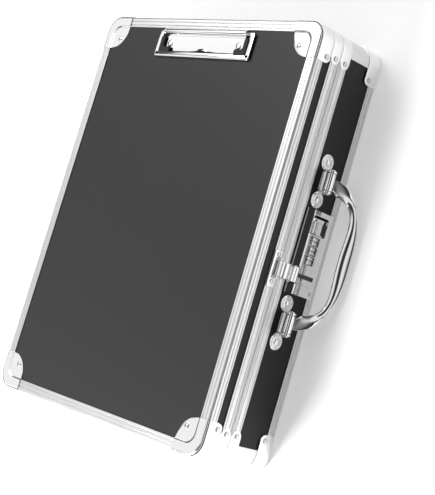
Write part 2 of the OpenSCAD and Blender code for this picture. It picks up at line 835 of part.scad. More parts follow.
module lock_screw_holes() {
    for (s = [-1, 1])
        rod_x([wall_in_x - 2, s * lock_screw_y, lock_screw_z], lock_screw_r + shank_gap, board_t + 6);
}
module cover_screw_hole() {
    rod_x([lock_x - 5, cover_screw_y, cover_screw_z], lock_screw_r + shank_gap, 10);
}
module lock_body() {
    shaft_len = 3 * dial_pitch + 3;
    window = dial_t / 2 + dial_side_gap;
    color([0.86, 0.86, 0.88]) difference() {
        union() {
            difference() {
                translate([0, lock_half, 0]) rotate([90, 0, 0])
                    linear_extrude(2 * lock_half) lock_section();
                block([board_x - 1, lock_cav_y0, lock_cav_z0],
                      [lock_x - lock_plate, lock_cav_y1, lock_ledge_z]);
                block([board_x - 1, notch_y1 - 1, lock_ledge_z - 0.5],
                      [channel_x, lock_cav_y1, lock_cav_z1]);
            }
            for (s = [-1, 1])
                block([dial_x - 2.5, dial_y + s * rib_at - rib_t / 2, dial_z - 4],
                      [lock_x - 1, dial_y + s * rib_at + rib_t / 2, dial_z + 4]);
        }
        // windows of the dials and of the slide button
        for (i = [0 : 2])
            block([lock_x - 2 * lock_plate, dial_at(i) - window, dial_z - dial_window_z],
                  [lock_x + 1, dial_at(i) + window, dial_z + dial_window_z]);
        block([lock_x - 2 * lock_plate, button_y0, button_z0], [lock_x + 1, button_y1, button_z1]);
        // notch of the hasp, open to the rim and to the outside
        block([board_x + 1, notch_y0, notch_z], [lock_x + 1, notch_y1, lock_z1 + 1]);
        block([board_x + 1, notch_y1 - 1, lock_ledge_z - 0.5], [channel_x, notch_y1 + 2, lock_cav_z1]);
        // long slot and the seat of the end cover
        block([lock_x - slot_deep, slot_y0, lock_z0 - 1], [lock_x + 1, slot_y1, notch_z + 1]);
        block([lock_x - cover_t, -lock_half - 1, lock_z0 - 1], [lock_x + 1, cover_y1, notch_z - 1]);
        cover_screw_hole();
        rod_y([dial_x, dial_y - shaft_len / 2, dial_z], dial_shaft_r + pin_gap, shaft_len);
        lock_screw_holes();
    }
}
module lock_end_cover() {
    color([0.86, 0.86, 0.88]) difference() {
        block([lock_x - cover_t, -lock_half, lock_z0 + 0.3],
              [lock_x, cover_y1 - cover_gap, notch_z - 1 - cover_gap]);
        cover_screw_hole();
    }
}
module lock_backplate() {
    x1 = wall_in_x;
    color([0.6, 0.6, 0.62]) difference() {
        union() {
            block([x1 - lock_back_t, lock_cav_y0 - lock_lip, lock_cav_z0 - 3.8],
                  [x1, lock_cav_y1 + lock_lip, lock_cav_z1 + lock_lip]);
            block([lock_back_x, lock_cav_y0, lock_cav_z0], [x1, lock_cav_y1, lock_cav_z1]);
        }
        block([lock_back_x + lock_back_t, lock_cav_y0 + lock_back_t, lock_cav_z0 + lock_back_t],
              [x1 + 1, lock_cav_y1 - lock_back_t, lock_cav_z1 - lock_back_t]);
        lock_screw_holes();
    }
}
module lock_screws() {
    color([0.7, 0.7, 0.72]) {
        rod_x([lock_x - 4, cover_screw_y, cover_screw_z], lock_screw_r, 4.1);
        translate([lock_x, cover_screw_y, cover_screw_z]) rotate([0, 90, 0]) difference() {
            dome(1.9, 0.8);
            translate([-3, -0.25, 0.4]) cube([6, 0.5, 1]);
        }
        for (s = [-1, 1]) {
            rod_x([wall_in_x - lock_back_t, s * lock_screw_y, lock_screw_z], lock_screw_r, board_t + 3);
            translate([wall_in_x - lock_back_t, s * lock_screw_y, lock_screw_z])
                rotate([0, -90, 0]) dome(1.7, 0.8);
        }
    }
}
module lock_slider() {
    x1 = lock_x - lock_plate - slider_gap;
    scoop_r = 8.5;
    color([0.9, 0.9, 0.92]) difference() {
        union() {
            block([x1 - slider_t, slider_y0, button_z0 - slider_lap], [x1, slider_y1, lock_ledge_z - 0.1]);
            block([x1 - slider_t, button_y0 + button_gap, button_z0 + button_gap],
                  [lock_x + button_up, button_y1 - slide_travel - button_gap, button_z1 - button_gap]);
        }
        translate([lock_x + 6, button_y0 + 4, button_z0 + 5]) sphere(scoop_r);
    }
}
module lock_bolt() {
    x0 = board_x + 1.4;
    y1 = slider_y1 - 2;
    color([0.65, 0.65, 0.67]) {
        block([x0, notch_y1 - 2.5, bolt_z0], [x0 + bolt_t, y1, bolt_z1]);
        block([x0, slider_y0 + 3, 28], [x0 + 0.9, y1, bolt_z0 + 0.4]);
        block([x0 - 3, notch_y1 + 2, 31], [x0 + bolt_t, notch_y1 + 3.2, bolt_z1]);
    }
}
module slider_spring() {
    spring_r = 1.2;
    spring_len = 24;
    color([0.6, 0.6, 0.62]) difference() {
        rod_y([board_x - 0.4, notch_y1 + 3.4, spring_z], spring_r, spring_len);
        rod_y([board_x - 0.4, notch_y1 + 3, spring_z], spring_r - 0.3, spring_len + 1);
    }
}
module dial_shaft() {
    half = 1.5 * dial_pitch + 1.4;
    color([0.7, 0.7, 0.72]) rod_y([dial_x, dial_y - half, dial_z], dial_shaft_r, 2 * half);
}
module dial(i) {
    color([0.55, 0.55, 0.57]) difference() {
        rod_y([dial_x, dial_at(i) - dial_t / 2, dial_z], dial_r, dial_t);
        rod_y([dial_x, dial_at(i) - dial_t, dial_z], dial_shaft_r + pin_gap, 2 * dial_t);
    }
}
module dial_1() { dial(0); }
module dial_2() { dial(1); }
module dial_3() { dial(2); }

// ---------- hasp ----------

hasp_rivet_ys = [hasp_y + 10.5, hasp_y - 11];
hasp_rivet_z = lid_z + 5.2;
module hasp_holes() {
    for (y = hasp_rivet_ys)
        rod_x([wall_in_x - 1, y, hasp_rivet_z], shank_r + shank_gap, side_t + 2);
}
module hasp_plate() {
    lug_mid = flap_w / 2 + hasp_lug_gap + hasp_lug_t / 2;
    color([0.85, 0.85, 0.86]) difference() {
        union() {
            block([hw, hasp_y - 15.5, lid_z + 0.3], [hw + leaf_t, hasp_y + 13.5, lid_z + rim_h]);
            for (s = [-1, 1]) {
                y0 = hasp_y + s * lug_mid - hasp_lug_t / 2;
                block([hw, y0, hasp_z - 1], [hasp_x, y0 + hasp_lug_t, hasp_z + 1]);
                rod_y([hasp_x, y0, hasp_z], hasp_r, hasp_lug_t);
            }
        }
        rod_y([hasp_x, hasp_y - flap_w, hasp_z], hasp_pin_r + pin_gap, 2 * flap_w);
        hasp_holes();
    }
}
module hasp_flap() {
    w = flap_w / 2;
    color([0.88, 0.88, 0.9]) difference() {
        union() {
            rod_y([hasp_x, hasp_y - w, hasp_z], hasp_r, flap_w);
            block([flap_x0, hasp_y - w, flap_z0], [flap_x0 + flap_t, hasp_y + w, hasp_z]);
            block([hw + 0.4, hasp_y - staple_w / 2, flap_z0],
                  [flap_x0, hasp_y + staple_w / 2, flap_z0 + staple_h]);
        }
        rod_y([hasp_x, hasp_y - flap_w, hasp_z], hasp_pin_r + pin_gap, 2 * flap_w);
    }
}
module hasp_pin() {
    color([0.7, 0.7, 0.72])
        rod_y([hasp_x, hasp_y - hasp_pin_half, hasp_z], hasp_pin_r, 2 * hasp_pin_half);
}
module hasp_rivets() {
    color([0.75, 0.75, 0.77]) for (y = hasp_rivet_ys)
        rivet_to_x([hw + leaf_t, y, hasp_rivet_z], small_rivet_r, small_rivet_head, leaf_t + side_t);
}

// ---------- clip ----------

clip_rivet_y = clip_y - 10.5;
module clip_rivet_holes() {
    for (s = [-1, 1])
        rod_z([clip_x + s * clip_rivets_apart / 2, clip_rivet_y, roof_z - 1],
              shank_r + shank_gap, board_t + 4);
}
module clip_base() {
    half = clip_w / 2;
    roll_half = clip_lug_x - 0.3;
    color([0.9, 0.9, 0.92]) difference() {
        translate([clip_x, 0, 0]) difference() {
            union() {
                block([-half, clip_y - 17, panel_z1], [half, clip_y - 2.5, panel_z1 + clip_t]);
                block([-half, clip_y - 3, panel_z1], [half, clip_y - 1, clip_z]);
                rod_x([-roll_half, clip_y, clip_z], roll_r, 2 * roll_half);
            }
            rod_x([-roll_half + 1.5, clip_y, clip_z], roll_r - 0.6, 2 * roll_half - 3);
            rod_x([-jaw_w, clip_y, clip_z], clip_pin_r + pin_gap, 2 * jaw_w);
        }
        clip_rivet_holes();
    }
}
module clip_pin() {
    half = clip_lug_x + clip_lug_t + 1;
    color([0.7, 0.7, 0.72]) rod_x([clip_x - half, clip_y, clip_z], clip_pin_r, 2 * half);
}
module clip_spring() {
    spring_half = 12;
    color([0.6, 0.6, 0.62]) difference() {
        rod_x([clip_x - spring_half, clip_y, clip_z], roll_r - 0.8, 2 * spring_half);
        rod_x([clip_x - spring_half - 1, clip_y, clip_z], clip_pin_r + 0.3, 2 * spring_half + 2);
    }
}
module clip_jaw() {
    half = jaw_w / 2;
    color([0.88, 0.88, 0.9]) translate([clip_x, 0, 0]) difference() {
        union() {
            for (s = [0, 1]) mirror([s, 0, 0]) {
                block([half - jaw_arm_w, jaw_bar_y, jaw_z0], [half, clip_y + 1, jaw_z0 + clip_t]);
                rod_x([clip_lug_x, clip_y, clip_z], roll_r, clip_lug_t);
                block([clip_lug_x, clip_y - 1, jaw_z0], [half, clip_y + 1, jaw_z0 + clip_t]);
            }
            rod_x([-half, jaw_bar_y, panel_z1 + jaw_bar_r + 0.3], jaw_bar_r, jaw_w);
            block([-half, jaw_bar_y, jaw_z0], [half, jaw_bar_y + jaw_lip_w, jaw_z0 + clip_t]);
        }
        rod_x([-jaw_w, clip_y, clip_z], clip_pin_r + pin_gap, 2 * jaw_w);
    }
}
module clip_grips() {
    x1 = jaw_w / 2 - jaw_arm_w;
    y0 = jaw_bar_y + jaw_lip_w;
    z0 = panel_z1 + 1.3;
    color([0.04, 0.04, 0.04]) translate([clip_x, 0, 0]) for (s = [0, 1]) mirror([s, 0, 0]) difference() {
        block([x1 - grip_side, y0, z0], [x1, y0 + grip_side, z0 + 1.7]);
        block([x1 - 2 * grip_side, y0 + grip_inner, z0 - 1],
              [x1 - grip_inner, y0 + 2 * grip_side, z0 + 3]);
    }
}
module clip_rivets() {
    color([0.75, 0.75, 0.77]) for (s = [-1, 1])
        translate([clip_x + s * clip_rivets_apart / 2, clip_rivet_y, panel_z1 + clip_t])
            rivet(clip_rivet_r, clip_rivet_head, board_t + clip_t);
}

base_panel();
base_wall_lock();
base_wall_hinge();
base_wall_ends();
base_edge_lock();
base_edge_hinge();
base_edge_ends();
base_rim_lock();
base_rim_hinge();
base_rim_ends();
base_corner_posts();
base_corner_caps();
base_rim_brackets();
base_rivets();
base_lining();
hinge_leaf_base();
hinge_pin();
hinge_rivets_base();
handle_brackets();
handle_bracket_rivets();
handle_pins();
handle();
lock_body();
lock_backplate();
lock_end_cover();
lock_screws();
lock_slider();
lock_bolt();
slider_spring();
dial_shaft();
dial_1();
dial_2();
dial_3();
lid_panel();
lid_wall_lock();
lid_wall_hinge();
lid_wall_ends();
lid_edge_lock();
lid_edge_hinge();
lid_edge_ends();
lid_rim_lock();
lid_rim_hinge();
lid_rim_ends();
lid_corner_posts();
lid_corner_caps();
lid_rim_brackets();
lid_rivets();
lid_lining();
hinge_leaf_lid();
hinge_rivets_lid();
hasp_plate();
hasp_flap();
hasp_pin();
hasp_rivets();
clip_base();
clip_jaw();
clip_grips();
clip_pin();
clip_spring();
clip_rivets();
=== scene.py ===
# %% [markdown]
# # An aluminium attache case with a clip on its lid
# The case is black laminated board held in ribbed aluminium extrusions, with pressed and plated
# corner caps, a cast handle, a lock with three number dials and a spring clip for papers.
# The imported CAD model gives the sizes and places. This file dresses it: most metal pieces are
# new surfaces, worked out as arrays of points, and each finish is a procedural material.

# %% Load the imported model
import math

import bmesh
import bpy
import numpy as np
from mathutils import Matrix, Vector


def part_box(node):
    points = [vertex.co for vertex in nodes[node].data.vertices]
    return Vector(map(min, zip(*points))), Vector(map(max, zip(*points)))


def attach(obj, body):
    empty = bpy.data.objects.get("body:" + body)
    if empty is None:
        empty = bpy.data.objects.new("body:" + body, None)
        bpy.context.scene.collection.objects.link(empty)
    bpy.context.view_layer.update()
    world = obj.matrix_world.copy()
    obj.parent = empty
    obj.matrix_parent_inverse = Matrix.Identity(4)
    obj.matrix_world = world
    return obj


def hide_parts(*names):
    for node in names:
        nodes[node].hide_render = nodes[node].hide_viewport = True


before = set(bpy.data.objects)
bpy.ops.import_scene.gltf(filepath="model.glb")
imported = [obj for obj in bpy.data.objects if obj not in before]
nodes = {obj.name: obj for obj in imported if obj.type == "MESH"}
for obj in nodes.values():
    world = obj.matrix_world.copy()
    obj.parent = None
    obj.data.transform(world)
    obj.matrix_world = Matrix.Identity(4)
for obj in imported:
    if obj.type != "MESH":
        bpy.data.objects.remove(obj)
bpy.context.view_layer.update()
MM = 0.001
print("nodes in the frame:", len(nodes))


def in_scene(name, data):
    """New object that shows data, linked to the scene."""
    thing = bpy.data.objects.new(name, data)
    bpy.context.scene.collection.objects.link(thing)
    return thing


def coords(*parts):
    """Points from their separate coordinates, which may be arrays or numbers of any shapes that
    fit together."""
    return np.stack(np.broadcast_arrays(*parts), -1)

# %% [markdown]
# ## The camera
# The camera stands in front of the lock side and looks down on the lid. A long lens keeps the
# edges of the case nearly parallel, as a product picture does. The lens is shifted downwards
# so that the case sits where it should without tilting the camera.

# %% Camera
FRAME_SIZE = (435, 495)


def set_camera(place, look, up, focal, centre):
    """Camera at place (m), looking along look with up upwards. focal and centre are the focal
    length and the lens centre, in the units in which the picture measures FRAME_SIZE."""
    wide, high = FRAME_SIZE
    data = bpy.data.cameras.new("camera")
    data.sensor_width = 36.0
    data.lens = focal * data.sensor_width / high
    data.shift_x = (wide / 2 - centre[0]) / high
    data.shift_y = (centre[1] - high / 2) / high
    data.clip_start = 0.05
    cam = in_scene("camera", data)
    back = -Vector(look).normalized()
    right = Vector(up).cross(back).normalized()
    upright = back.cross(right)
    turn = Matrix((right, upright, back)).transposed().to_4x4()
    cam.matrix_world = Matrix.Translation(Vector(place)) @ turn
    bpy.context.scene.camera = cam


set_camera(
    place=(0.869, -0.0951, 0.7823),
    look=(-0.74051, 0.11722, -0.66174),
    up=(-0.10685, 0.95161, 0.28813),
    focal=1349.2,
    centre=(222.8, 190.0),
)

# %% [markdown]
# ## Floor and light
# A pale floor and a bright room make the aluminium look light. Chrome has no colour of its own:
# it shows what is around it, so the room also has a few darker bands, which give the polished
# pieces their black and white stripes. Large area lights keep the shadows soft.

# %% Floor, room and lights
def set_world(levels, behind, shade):
    """Room light, as a grey for each direction looked in. levels and behind are lists of
    (height from -1 to 1, grey), for directions towards -X and towards +X. shade is a list of
    (place along Y from -1 to 1, factor), which darkens levels over part of their width."""
    world = bpy.data.worlds.new("room")
    world.use_nodes = True
    tree = world.node_tree
    tree.nodes.clear()
    coord = tree.nodes.new("ShaderNodeTexCoord")
    split = tree.nodes.new("ShaderNodeSeparateXYZ")
    tree.links.new(coord.outputs["Generated"], split.inputs[0])

    def ramp(axis, stops):
        """Grey that depends on the direction's share along one axis."""
        span = tree.nodes.new("ShaderNodeMapRange")
        span.inputs["From Min"].default_value = -1.0
        tree.links.new(split.outputs[axis], span.inputs["Value"])
        node = tree.nodes.new("ShaderNodeValToRGB")
        tree.links.new(span.outputs[0], node.inputs[0])
        marks = node.color_ramp.elements
        marks.remove(marks[1])
        for k, (place, grey) in enumerate(stops):
            mark = marks[0] if k == 0 else marks.new((place + 1) / 2)
            mark.position = (place + 1) / 2
            mark.color = (grey, grey, grey, 1)
        return node.outputs[0]

    def mix(blend_type, first, second):
        """Mix node for two colours. Its first input is the factor, and 6 and 7 the colours."""
        node = tree.nodes.new("ShaderNodeMix")
        node.data_type = "RGBA"
        node.blend_type = blend_type
        tree.links.new(first, node.inputs[6])
        tree.links.new(second, node.inputs[7])
        return node.inputs["Factor"], node.outputs[2]

    factor, front = mix("MULTIPLY", ramp("Z", levels), ramp("Y", shade))
    factor.default_value = 1.0
    factor, room = mix("MIX", front, ramp("Z", behind))
    tree.links.new(ramp("X", ((0.1, 0.0), (0.2, 1.0))), factor)
    back = tree.nodes.new("ShaderNodeBackground")
    out = tree.nodes.new("ShaderNodeOutputWorld")
    tree.links.new(room, back.inputs[0])
    tree.links.new(back.outputs[0], out.inputs[0])
    bpy.context.scene.world = world


def area_light(name, place, aim, size, power):
    """Rectangular area light at place, facing aim (m), with its power in watts."""
    data = bpy.data.lights.new(name, "AREA")
    data.shape = "RECTANGLE"
    data.size, data.size_y = size
    data.energy = power
    lamp = in_scene(name, data)
    lamp.location = place
    lamp.rotation_euler = (Vector(aim) - Vector(place)).to_track_quat("-Z", "Y").to_euler()


def make_floor(height, around=64, radii=(0.5, 2.0, 12.0)):
    """Round floor at a height, large enough that its edge is never seen: rings of points at the
    given radii, joined by quads, and a fan of triangles about the middle."""
    turn = np.linspace(0, 2 * np.pi, around, endpoint=False)
    radii = np.array(radii)[:, None]
    points = coords(radii * np.cos(turn), radii * np.sin(turn), height).reshape(-1, 3)
    points = np.concatenate([points, [[0, 0, height]]])
    i = np.arange(len(points) - 1).reshape(-1, around)
    j = np.roll(i, -1, axis=1)
    faces = np.stack([i[1:], j[1:], j[:-1], i[:-1]], -1).reshape(-1, 4).tolist()
    faces += [(int(a), int(b), len(points) - 1) for a, b in zip(i[0], j[0])]
    data = bpy.data.meshes.new("floor")
    data.from_pydata(points.tolist(), [], faces)
    floor = in_scene("floor", data)
    return floor


bpy.context.scene.view_settings.view_transform = "Standard"
set_world(
    levels=((-0.1, 0.9), (0.06, 0.6), (0.14, 0.06), (0.4, 0.08), (0.5, 1.1), (1.0, 0.95)),
    behind=((-0.1, 0.9), (0.02, 0.3), (0.06, 0.03), (0.36, 0.05), (0.5, 0.3), (0.58, 0.95),
            (0.7, 0.95), (0.76, 0.04), (0.92, 0.04), (0.97, 0.9)),
    shade=((-0.8, 1.0), (-0.62, 0.07), (-0.34, 0.12), (-0.17, 1.0)),
)
area_light("key", (-0.9, 0.9, 1.6), (0, 0, 0.03), (0.9, 0.9), 12)
area_light("low_side", (-1.6, -1.2, 0.9), (0, 0, 0.05), (1.4, 0.8), 4)
area_light("near_end", (-0.15, -0.55, 0.5), (0, -0.15, 0.05), (0.3, 0.2), 7)
floor = make_floor(-0.0004)

# %% [markdown]
# ## Shared effects
# Several finishes share the same small effects, so each is a node group that is built once:
# fine grain for bumps, slow smudges for gloss, and drawn lines for extruded metal. A group only
# gives out values that change over the surface. The shader stays in each material.

# %% Node groups
def new_group(name, inputs, outputs):
    """Empty node group. inputs maps a socket's name to its default, outputs is a list of names."""
    group = bpy.data.node_groups.new(name, "ShaderNodeTree")
    group.interface.new_socket("Vector", in_out="INPUT", socket_type="NodeSocketVector")
    for key, value in inputs.items():
        socket = group.interface.new_socket(key, in_out="INPUT", socket_type="NodeSocketFloat")
        socket.default_value = value
    for key in outputs:
        group.interface.new_socket(key, in_out="OUTPUT", socket_type="NodeSocketFloat")
    return group, group.nodes.new("NodeGroupInput"), group.nodes.new("NodeGroupOutput")


def math_node(tree, kind, a, b):
    """Math node of one kind, whose two inputs are sockets or plain numbers."""
    node = tree.nodes.new("ShaderNodeMath")
    node.operation = kind
    for slot, value in ((0, a), (1, b)):
        if isinstance(value, (int, float)):
            node.inputs[slot].default_value = value
        else:
            tree.links.new(value, node.inputs[slot])
    return node.outputs[0]


def noise_node(tree, vector, scale, detail, roughness=0.5):
    """Noise texture that reads the given vector socket. scale is a number or a socket."""
    node = tree.nodes.new("ShaderNodeTexNoise")
    tree.links.new(vector, node.inputs["Vector"])
    if isinstance(scale, (int, float)):
        node.inputs["Scale"].default_value = scale
    else:
        tree.links.new(scale, node.inputs["Scale"])
    node.inputs["Detail"].default_value = detail
    node.inputs["Roughness"].default_value = roughness
    return node.outputs["Fac"]


def grain_group():
    """Fine grain: noise at Scale and at four times Scale, added, times Strength."""
    group, given, out = new_group("fine_grain", {"Scale": 900.0, "Strength": 1.0}, ["Height"])
    coarse = noise_node(group, given.outputs["Vector"], given.outputs["Scale"], 3)
    fine_scale = math_node(group, "MULTIPLY", given.outputs["Scale"], 4.0)
    fine = noise_node(group, given.outputs["Vector"], fine_scale, 2)
    both = math_node(group, "ADD", coarse, fine)
    height = math_node(group, "MULTIPLY", both, given.outputs["Strength"])
    group.links.new(height, out.inputs["Height"])
    return group


def smudge_group():
    """Handling marks: slow noise, spread between Low and High."""
    group, given, out = new_group(
        "smudges", {"Scale": 14.0, "Low": 0.1, "High": 0.2}, ["Roughness"])
    slow = noise_node(group, given.outputs["Vector"], given.outputs["Scale"], 4, 0.6)
    span = math_node(group, "SUBTRACT", given.outputs["High"], given.outputs["Low"])
    spread = math_node(group, "MULTIPLY", slow, span)
    rough = math_node(group, "ADD", spread, given.outputs["Low"])
    group.links.new(rough, out.inputs["Roughness"])
    return group


def drawn_group():
    """Drawn lines: the mean of noise at Scale and at 3.7 times Scale. The caller's Mapping node
    stretches it along one axis."""
    group, given, out = new_group("drawn_lines", {"Scale": 1.0}, ["Lines"])
    wide = noise_node(group, given.outputs["Vector"], given.outputs["Scale"], 2)
    thin_scale = math_node(group, "MULTIPLY", given.outputs["Scale"], 3.7)
    thin = noise_node(group, given.outputs["Vector"], thin_scale, 2)
    total = math_node(group, "ADD", math_node(group, "MULTIPLY", wide, 0.5),
                      math_node(group, "MULTIPLY", thin, 0.5))
    group.links.new(total, out.inputs["Lines"])
    return group


GRAIN = grain_group()
SMUDGE = smudge_group()
DRAWN = drawn_group()

# %% [markdown]
# ## Finishes
# Every finish starts as a Principled shader with its fixed numbers set on the shader itself.
# What changes over the surface, such as gloss and bumps, comes from the groups above.

# %% Material helpers
def new_material(name, colour, metallic=0.0, roughness=0.5, **extra):
    """Principled material. extra sets more sockets by name, with _ for a space."""
    mat = bpy.data.materials.new(name)
    mat.use_nodes = True
    shader = mat.node_tree.nodes["Principled BSDF"]
    shader.inputs["Base Color"].default_value = (*colour, 1)
    shader.inputs["Metallic"].default_value = metallic
    shader.inputs["Roughness"].default_value = roughness
    for key, value in extra.items():
        shader.inputs[key.replace("_", " ")].default_value = value
    return mat


def object_vector(mat, stretch=None):
    """The piece's own coordinates in metres, with each axis scaled by stretch."""
    tree = mat.node_tree
    coord = tree.nodes.new("ShaderNodeTexCoord").outputs["Object"]
    if stretch is None:
        return coord
    mapping = tree.nodes.new("ShaderNodeMapping")
    mapping.inputs["Scale"].default_value = stretch
    tree.links.new(coord, mapping.inputs["Vector"])
    return mapping.outputs[0]


def add_group(mat, group, vector, **values):
    """Places a shared group in a material, with its own values."""
    node = mat.node_tree.nodes.new("ShaderNodeGroup")
    node.node_tree = group
    mat.node_tree.links.new(vector, node.inputs["Vector"])
    for key, value in values.items():
        node.inputs[key].default_value = value
    return node.outputs[0]


def feed(mat, socket, target):
    """Links a value to one of the shader's inputs."""
    mat.node_tree.links.new(socket, mat.node_tree.nodes["Principled BSDF"].inputs[target])


def add_bump(mat, height, strength, distance):
    """Bump node from a height value to the shader's normal."""
    bump = mat.node_tree.nodes.new("ShaderNodeBump")
    bump.inputs["Strength"].default_value = strength
    bump.inputs["Distance"].default_value = distance
    mat.node_tree.links.new(height, bump.inputs["Height"])
    feed(mat, bump.outputs[0], "Normal")


def ramp_between(mat, value, low, high, start=0.0, end=1.0):
    """Colour ramp from the grey or colour low to high as value goes from start to end."""
    node = mat.node_tree.nodes.new("ShaderNodeValToRGB")
    mat.node_tree.links.new(value, node.inputs[0])
    for stop, place, colour in zip(node.color_ramp.elements, (start, end), (low, high)):
        stop.position = place
        stop.color = (*colour, 1)
    return node.outputs[0]


# %% Aluminium, chrome and steel
def drawn_aluminium(name, along):
    """Satin anodised aluminium, with fine lines along the axis that it was drawn in."""
    mat = new_material(name, (0.8, 0.805, 0.81), 1.0, 0.3)
    stretch = [1400.0, 1400.0, 1400.0]
    stretch[along] = 9.0
    lines = add_group(mat, DRAWN, object_vector(mat, stretch), Scale=1.0)
    smudge = add_group(mat, SMUDGE, object_vector(mat), Scale=22.0, Low=0.24, High=0.42)
    feed(mat, smudge, "Roughness")
    feed(mat, ramp_between(mat, lines, (0.6, 0.605, 0.61), (0.76, 0.76, 0.765), 0.3, 0.7),
         "Base Color")
    add_bump(mat, lines, 0.25, 0.00003)
    return mat


def worn(name, colour, metallic, low, high, marks, grain=None, **extra):
    """Material whose roughness varies slowly from low to high, with handling marks at the given
    scale. grain, where there is one, is the scale, strength and distance of a fine bump."""
    mat = new_material(name, colour, metallic, low, **extra)
    smudge = add_group(mat, SMUDGE, object_vector(mat), Scale=marks, Low=low, High=high)
    feed(mat, smudge, "Roughness")
    if grain:
        scale, strength, distance = grain
        height = add_group(mat, GRAIN, object_vector(mat), Scale=scale, Strength=1.0)
        add_bump(mat, height, strength, distance)
    return mat


def plated(name, grey, low, high, grain=0.0):
    """Chrome plate over a pressing or a casting, with a grain if the metal under it shows."""
    return worn(name, (grey, grey, grey * 1.01), 1.0, low, high, 30.0,
                (700.0, grain, 0.00002) if grain else None)


ALUMINIUM = [drawn_aluminium("aluminium_drawn_" + "xyz"[a], a) for a in range(3)]
CAP_CHROME = plated("cap_chrome", 0.82, 0.12, 0.2, 0.15)
CHROME = plated("polished_chrome", 0.8, 0.03, 0.09)
RIVET_CHROME = plated("rivet_chrome", 0.6, 0.08, 0.16)
CLIP_CHROME = plated("clip_chrome", 0.9, 0.05, 0.12)
STEEL = plated("zinc_steel", 0.6, 0.25, 0.4, 0.4)
DIAL_METAL = plated("dial_metal", 0.62, 0.18, 0.3, 0.2)


# %% Board, rubber and cloth
def laminate(name, grey, low, high, grain_scale):
    """Dark board, rubber, ink, and the painted shade in the lock's slot: a fine pressed grain
    under a thin semi-matte film.
    """
    return worn(name, (grey, grey, grey * 1.03), 0.0, low, high, 9.0,
                (grain_scale, 0.35, 0.00004), Specular_IOR_Level=0.28)


def cloth(name, grey):
    """Thin woven lining: crossed waves along the object's axes make the weave."""
    mat = new_material(name, (grey, grey, grey), 0.0, 0.95, Sheen_Weight=0.2)
    tree = mat.node_tree
    waves = []
    for direction in ("X", "Y"):
        wave = tree.nodes.new("ShaderNodeTexWave")
        wave.bands_direction = direction
        wave.inputs["Scale"].default_value = 260.0
        wave.inputs["Distortion"].default_value = 1.2
        tree.links.new(object_vector(mat), wave.inputs["Vector"])
        waves.append(wave.outputs["Fac"])
    weave = math_node(tree, "MULTIPLY", waves[0], waves[1])
    feed(mat, ramp_between(mat, weave, (grey * 0.6,) * 3, (grey * 1.6,) * 3), "Base Color")
    add_bump(mat, weave, 0.5, 0.0002)
    return mat


LID_BOARD = laminate("lid_laminate", 0.018, 0.36, 0.44, 1500.0)
SIDE_BOARD = laminate("side_laminate", 0.005, 0.3, 0.4, 1500.0)
NUMBER_INK = laminate("number_ink", 0.015, 0.45, 0.6, 900.0)
# Painted shade: a near-black finish for the plate in the lock's slot, which stands in for the
# shade in that recess.
PAINTED_SLOT_SHADE = laminate("slot_shade_painted", 0.06, 0.25, 0.35, 900.0)
RUBBER = laminate("soft_rubber", 0.02, 0.55, 0.7, 1100.0)
LINING = cloth("lining_cloth", 0.03)
floor.data.materials.append(new_material(
    "floor_white", (0.86, 0.86, 0.86), 0.0, 0.8, Emission_Strength=0.3,
    Emission_Color=(1, 1, 1, 1)))


def finish_for(node):
    """The material of a CAD node, chosen by its name."""
    if "lining" in node:
        return LINING
    if node == "lid_panel":
        return LID_BOARD
    if "wall" in node or "panel" in node:
        return SIDE_BOARD
    if node.endswith("_ends"):
        return ALUMINIUM[0]
    if "edge" in node or "_rim_lock" in node or "_rim_hinge" in node:
        return ALUMINIUM[1]
    if "posts" in node:
        return ALUMINIUM[2]
    if "caps" in node or "rim_brackets" in node:
        return CAP_CHROME
    if "rivets" in node:
        return RIVET_CHROME
    if "grips" in node:
        return RUBBER
    steel = ("pin", "screws", "spring", "shaft", "bolt", "backplate", "leaf")
    if any(word in node for word in steel):
        return STEEL
    return CHROME

# %% [markdown]
# ## How the metal pieces are made
# Sheet, castings and extrusions all follow the same idea: work out an array of points, then join
# neighbouring points into faces. Three helpers cover most of the case. `loft` puts a skin on a
# stack of closed loops, `plate` gives thickness to a grid of points, and `ring` carries a small
# section around a closed path. Everything is worked out in millimetres and turned into metres
# when it becomes a mesh.

# %% Skins from arrays of points
def outward(points, faces):
    """Turns the faces round if the volume that they enclose comes out negative. The volume is
    the sum over all faces of a triangle fan's signed corner volumes."""
    volume = 0.0
    for face in faces:
        ring_points = points[list(face)]
        a, b, c = ring_points[:1], ring_points[1:-1], ring_points[2:]
        volume += np.einsum("ij,ij->", np.broadcast_to(a, b.shape), np.cross(b, c))
    if volume < 0:
        faces = [tuple(face)[::-1] for face in faces]
    return points, faces


def loft(loops, joined=False):
    """Skin over a stack of closed loops, shape (rows, around, 3): each point joins the next one
    in its loop and the same one in the next loop. The end loops are closed by flat faces, or
    joined to each other."""
    rows, around = loops.shape[:2]
    i = np.arange(rows * around).reshape(rows, around)
    j = np.roll(i, -1, axis=1)
    quads = np.stack([i, j, np.roll(j, -1, axis=0), np.roll(i, -1, axis=0)], -1)
    faces = quads[:rows if joined else -1].reshape(-1, 4).tolist()
    if not joined:
        faces += [i[0, ::-1].tolist(), i[-1].tolist()]
    return outward(loops.reshape(-1, 3), faces)


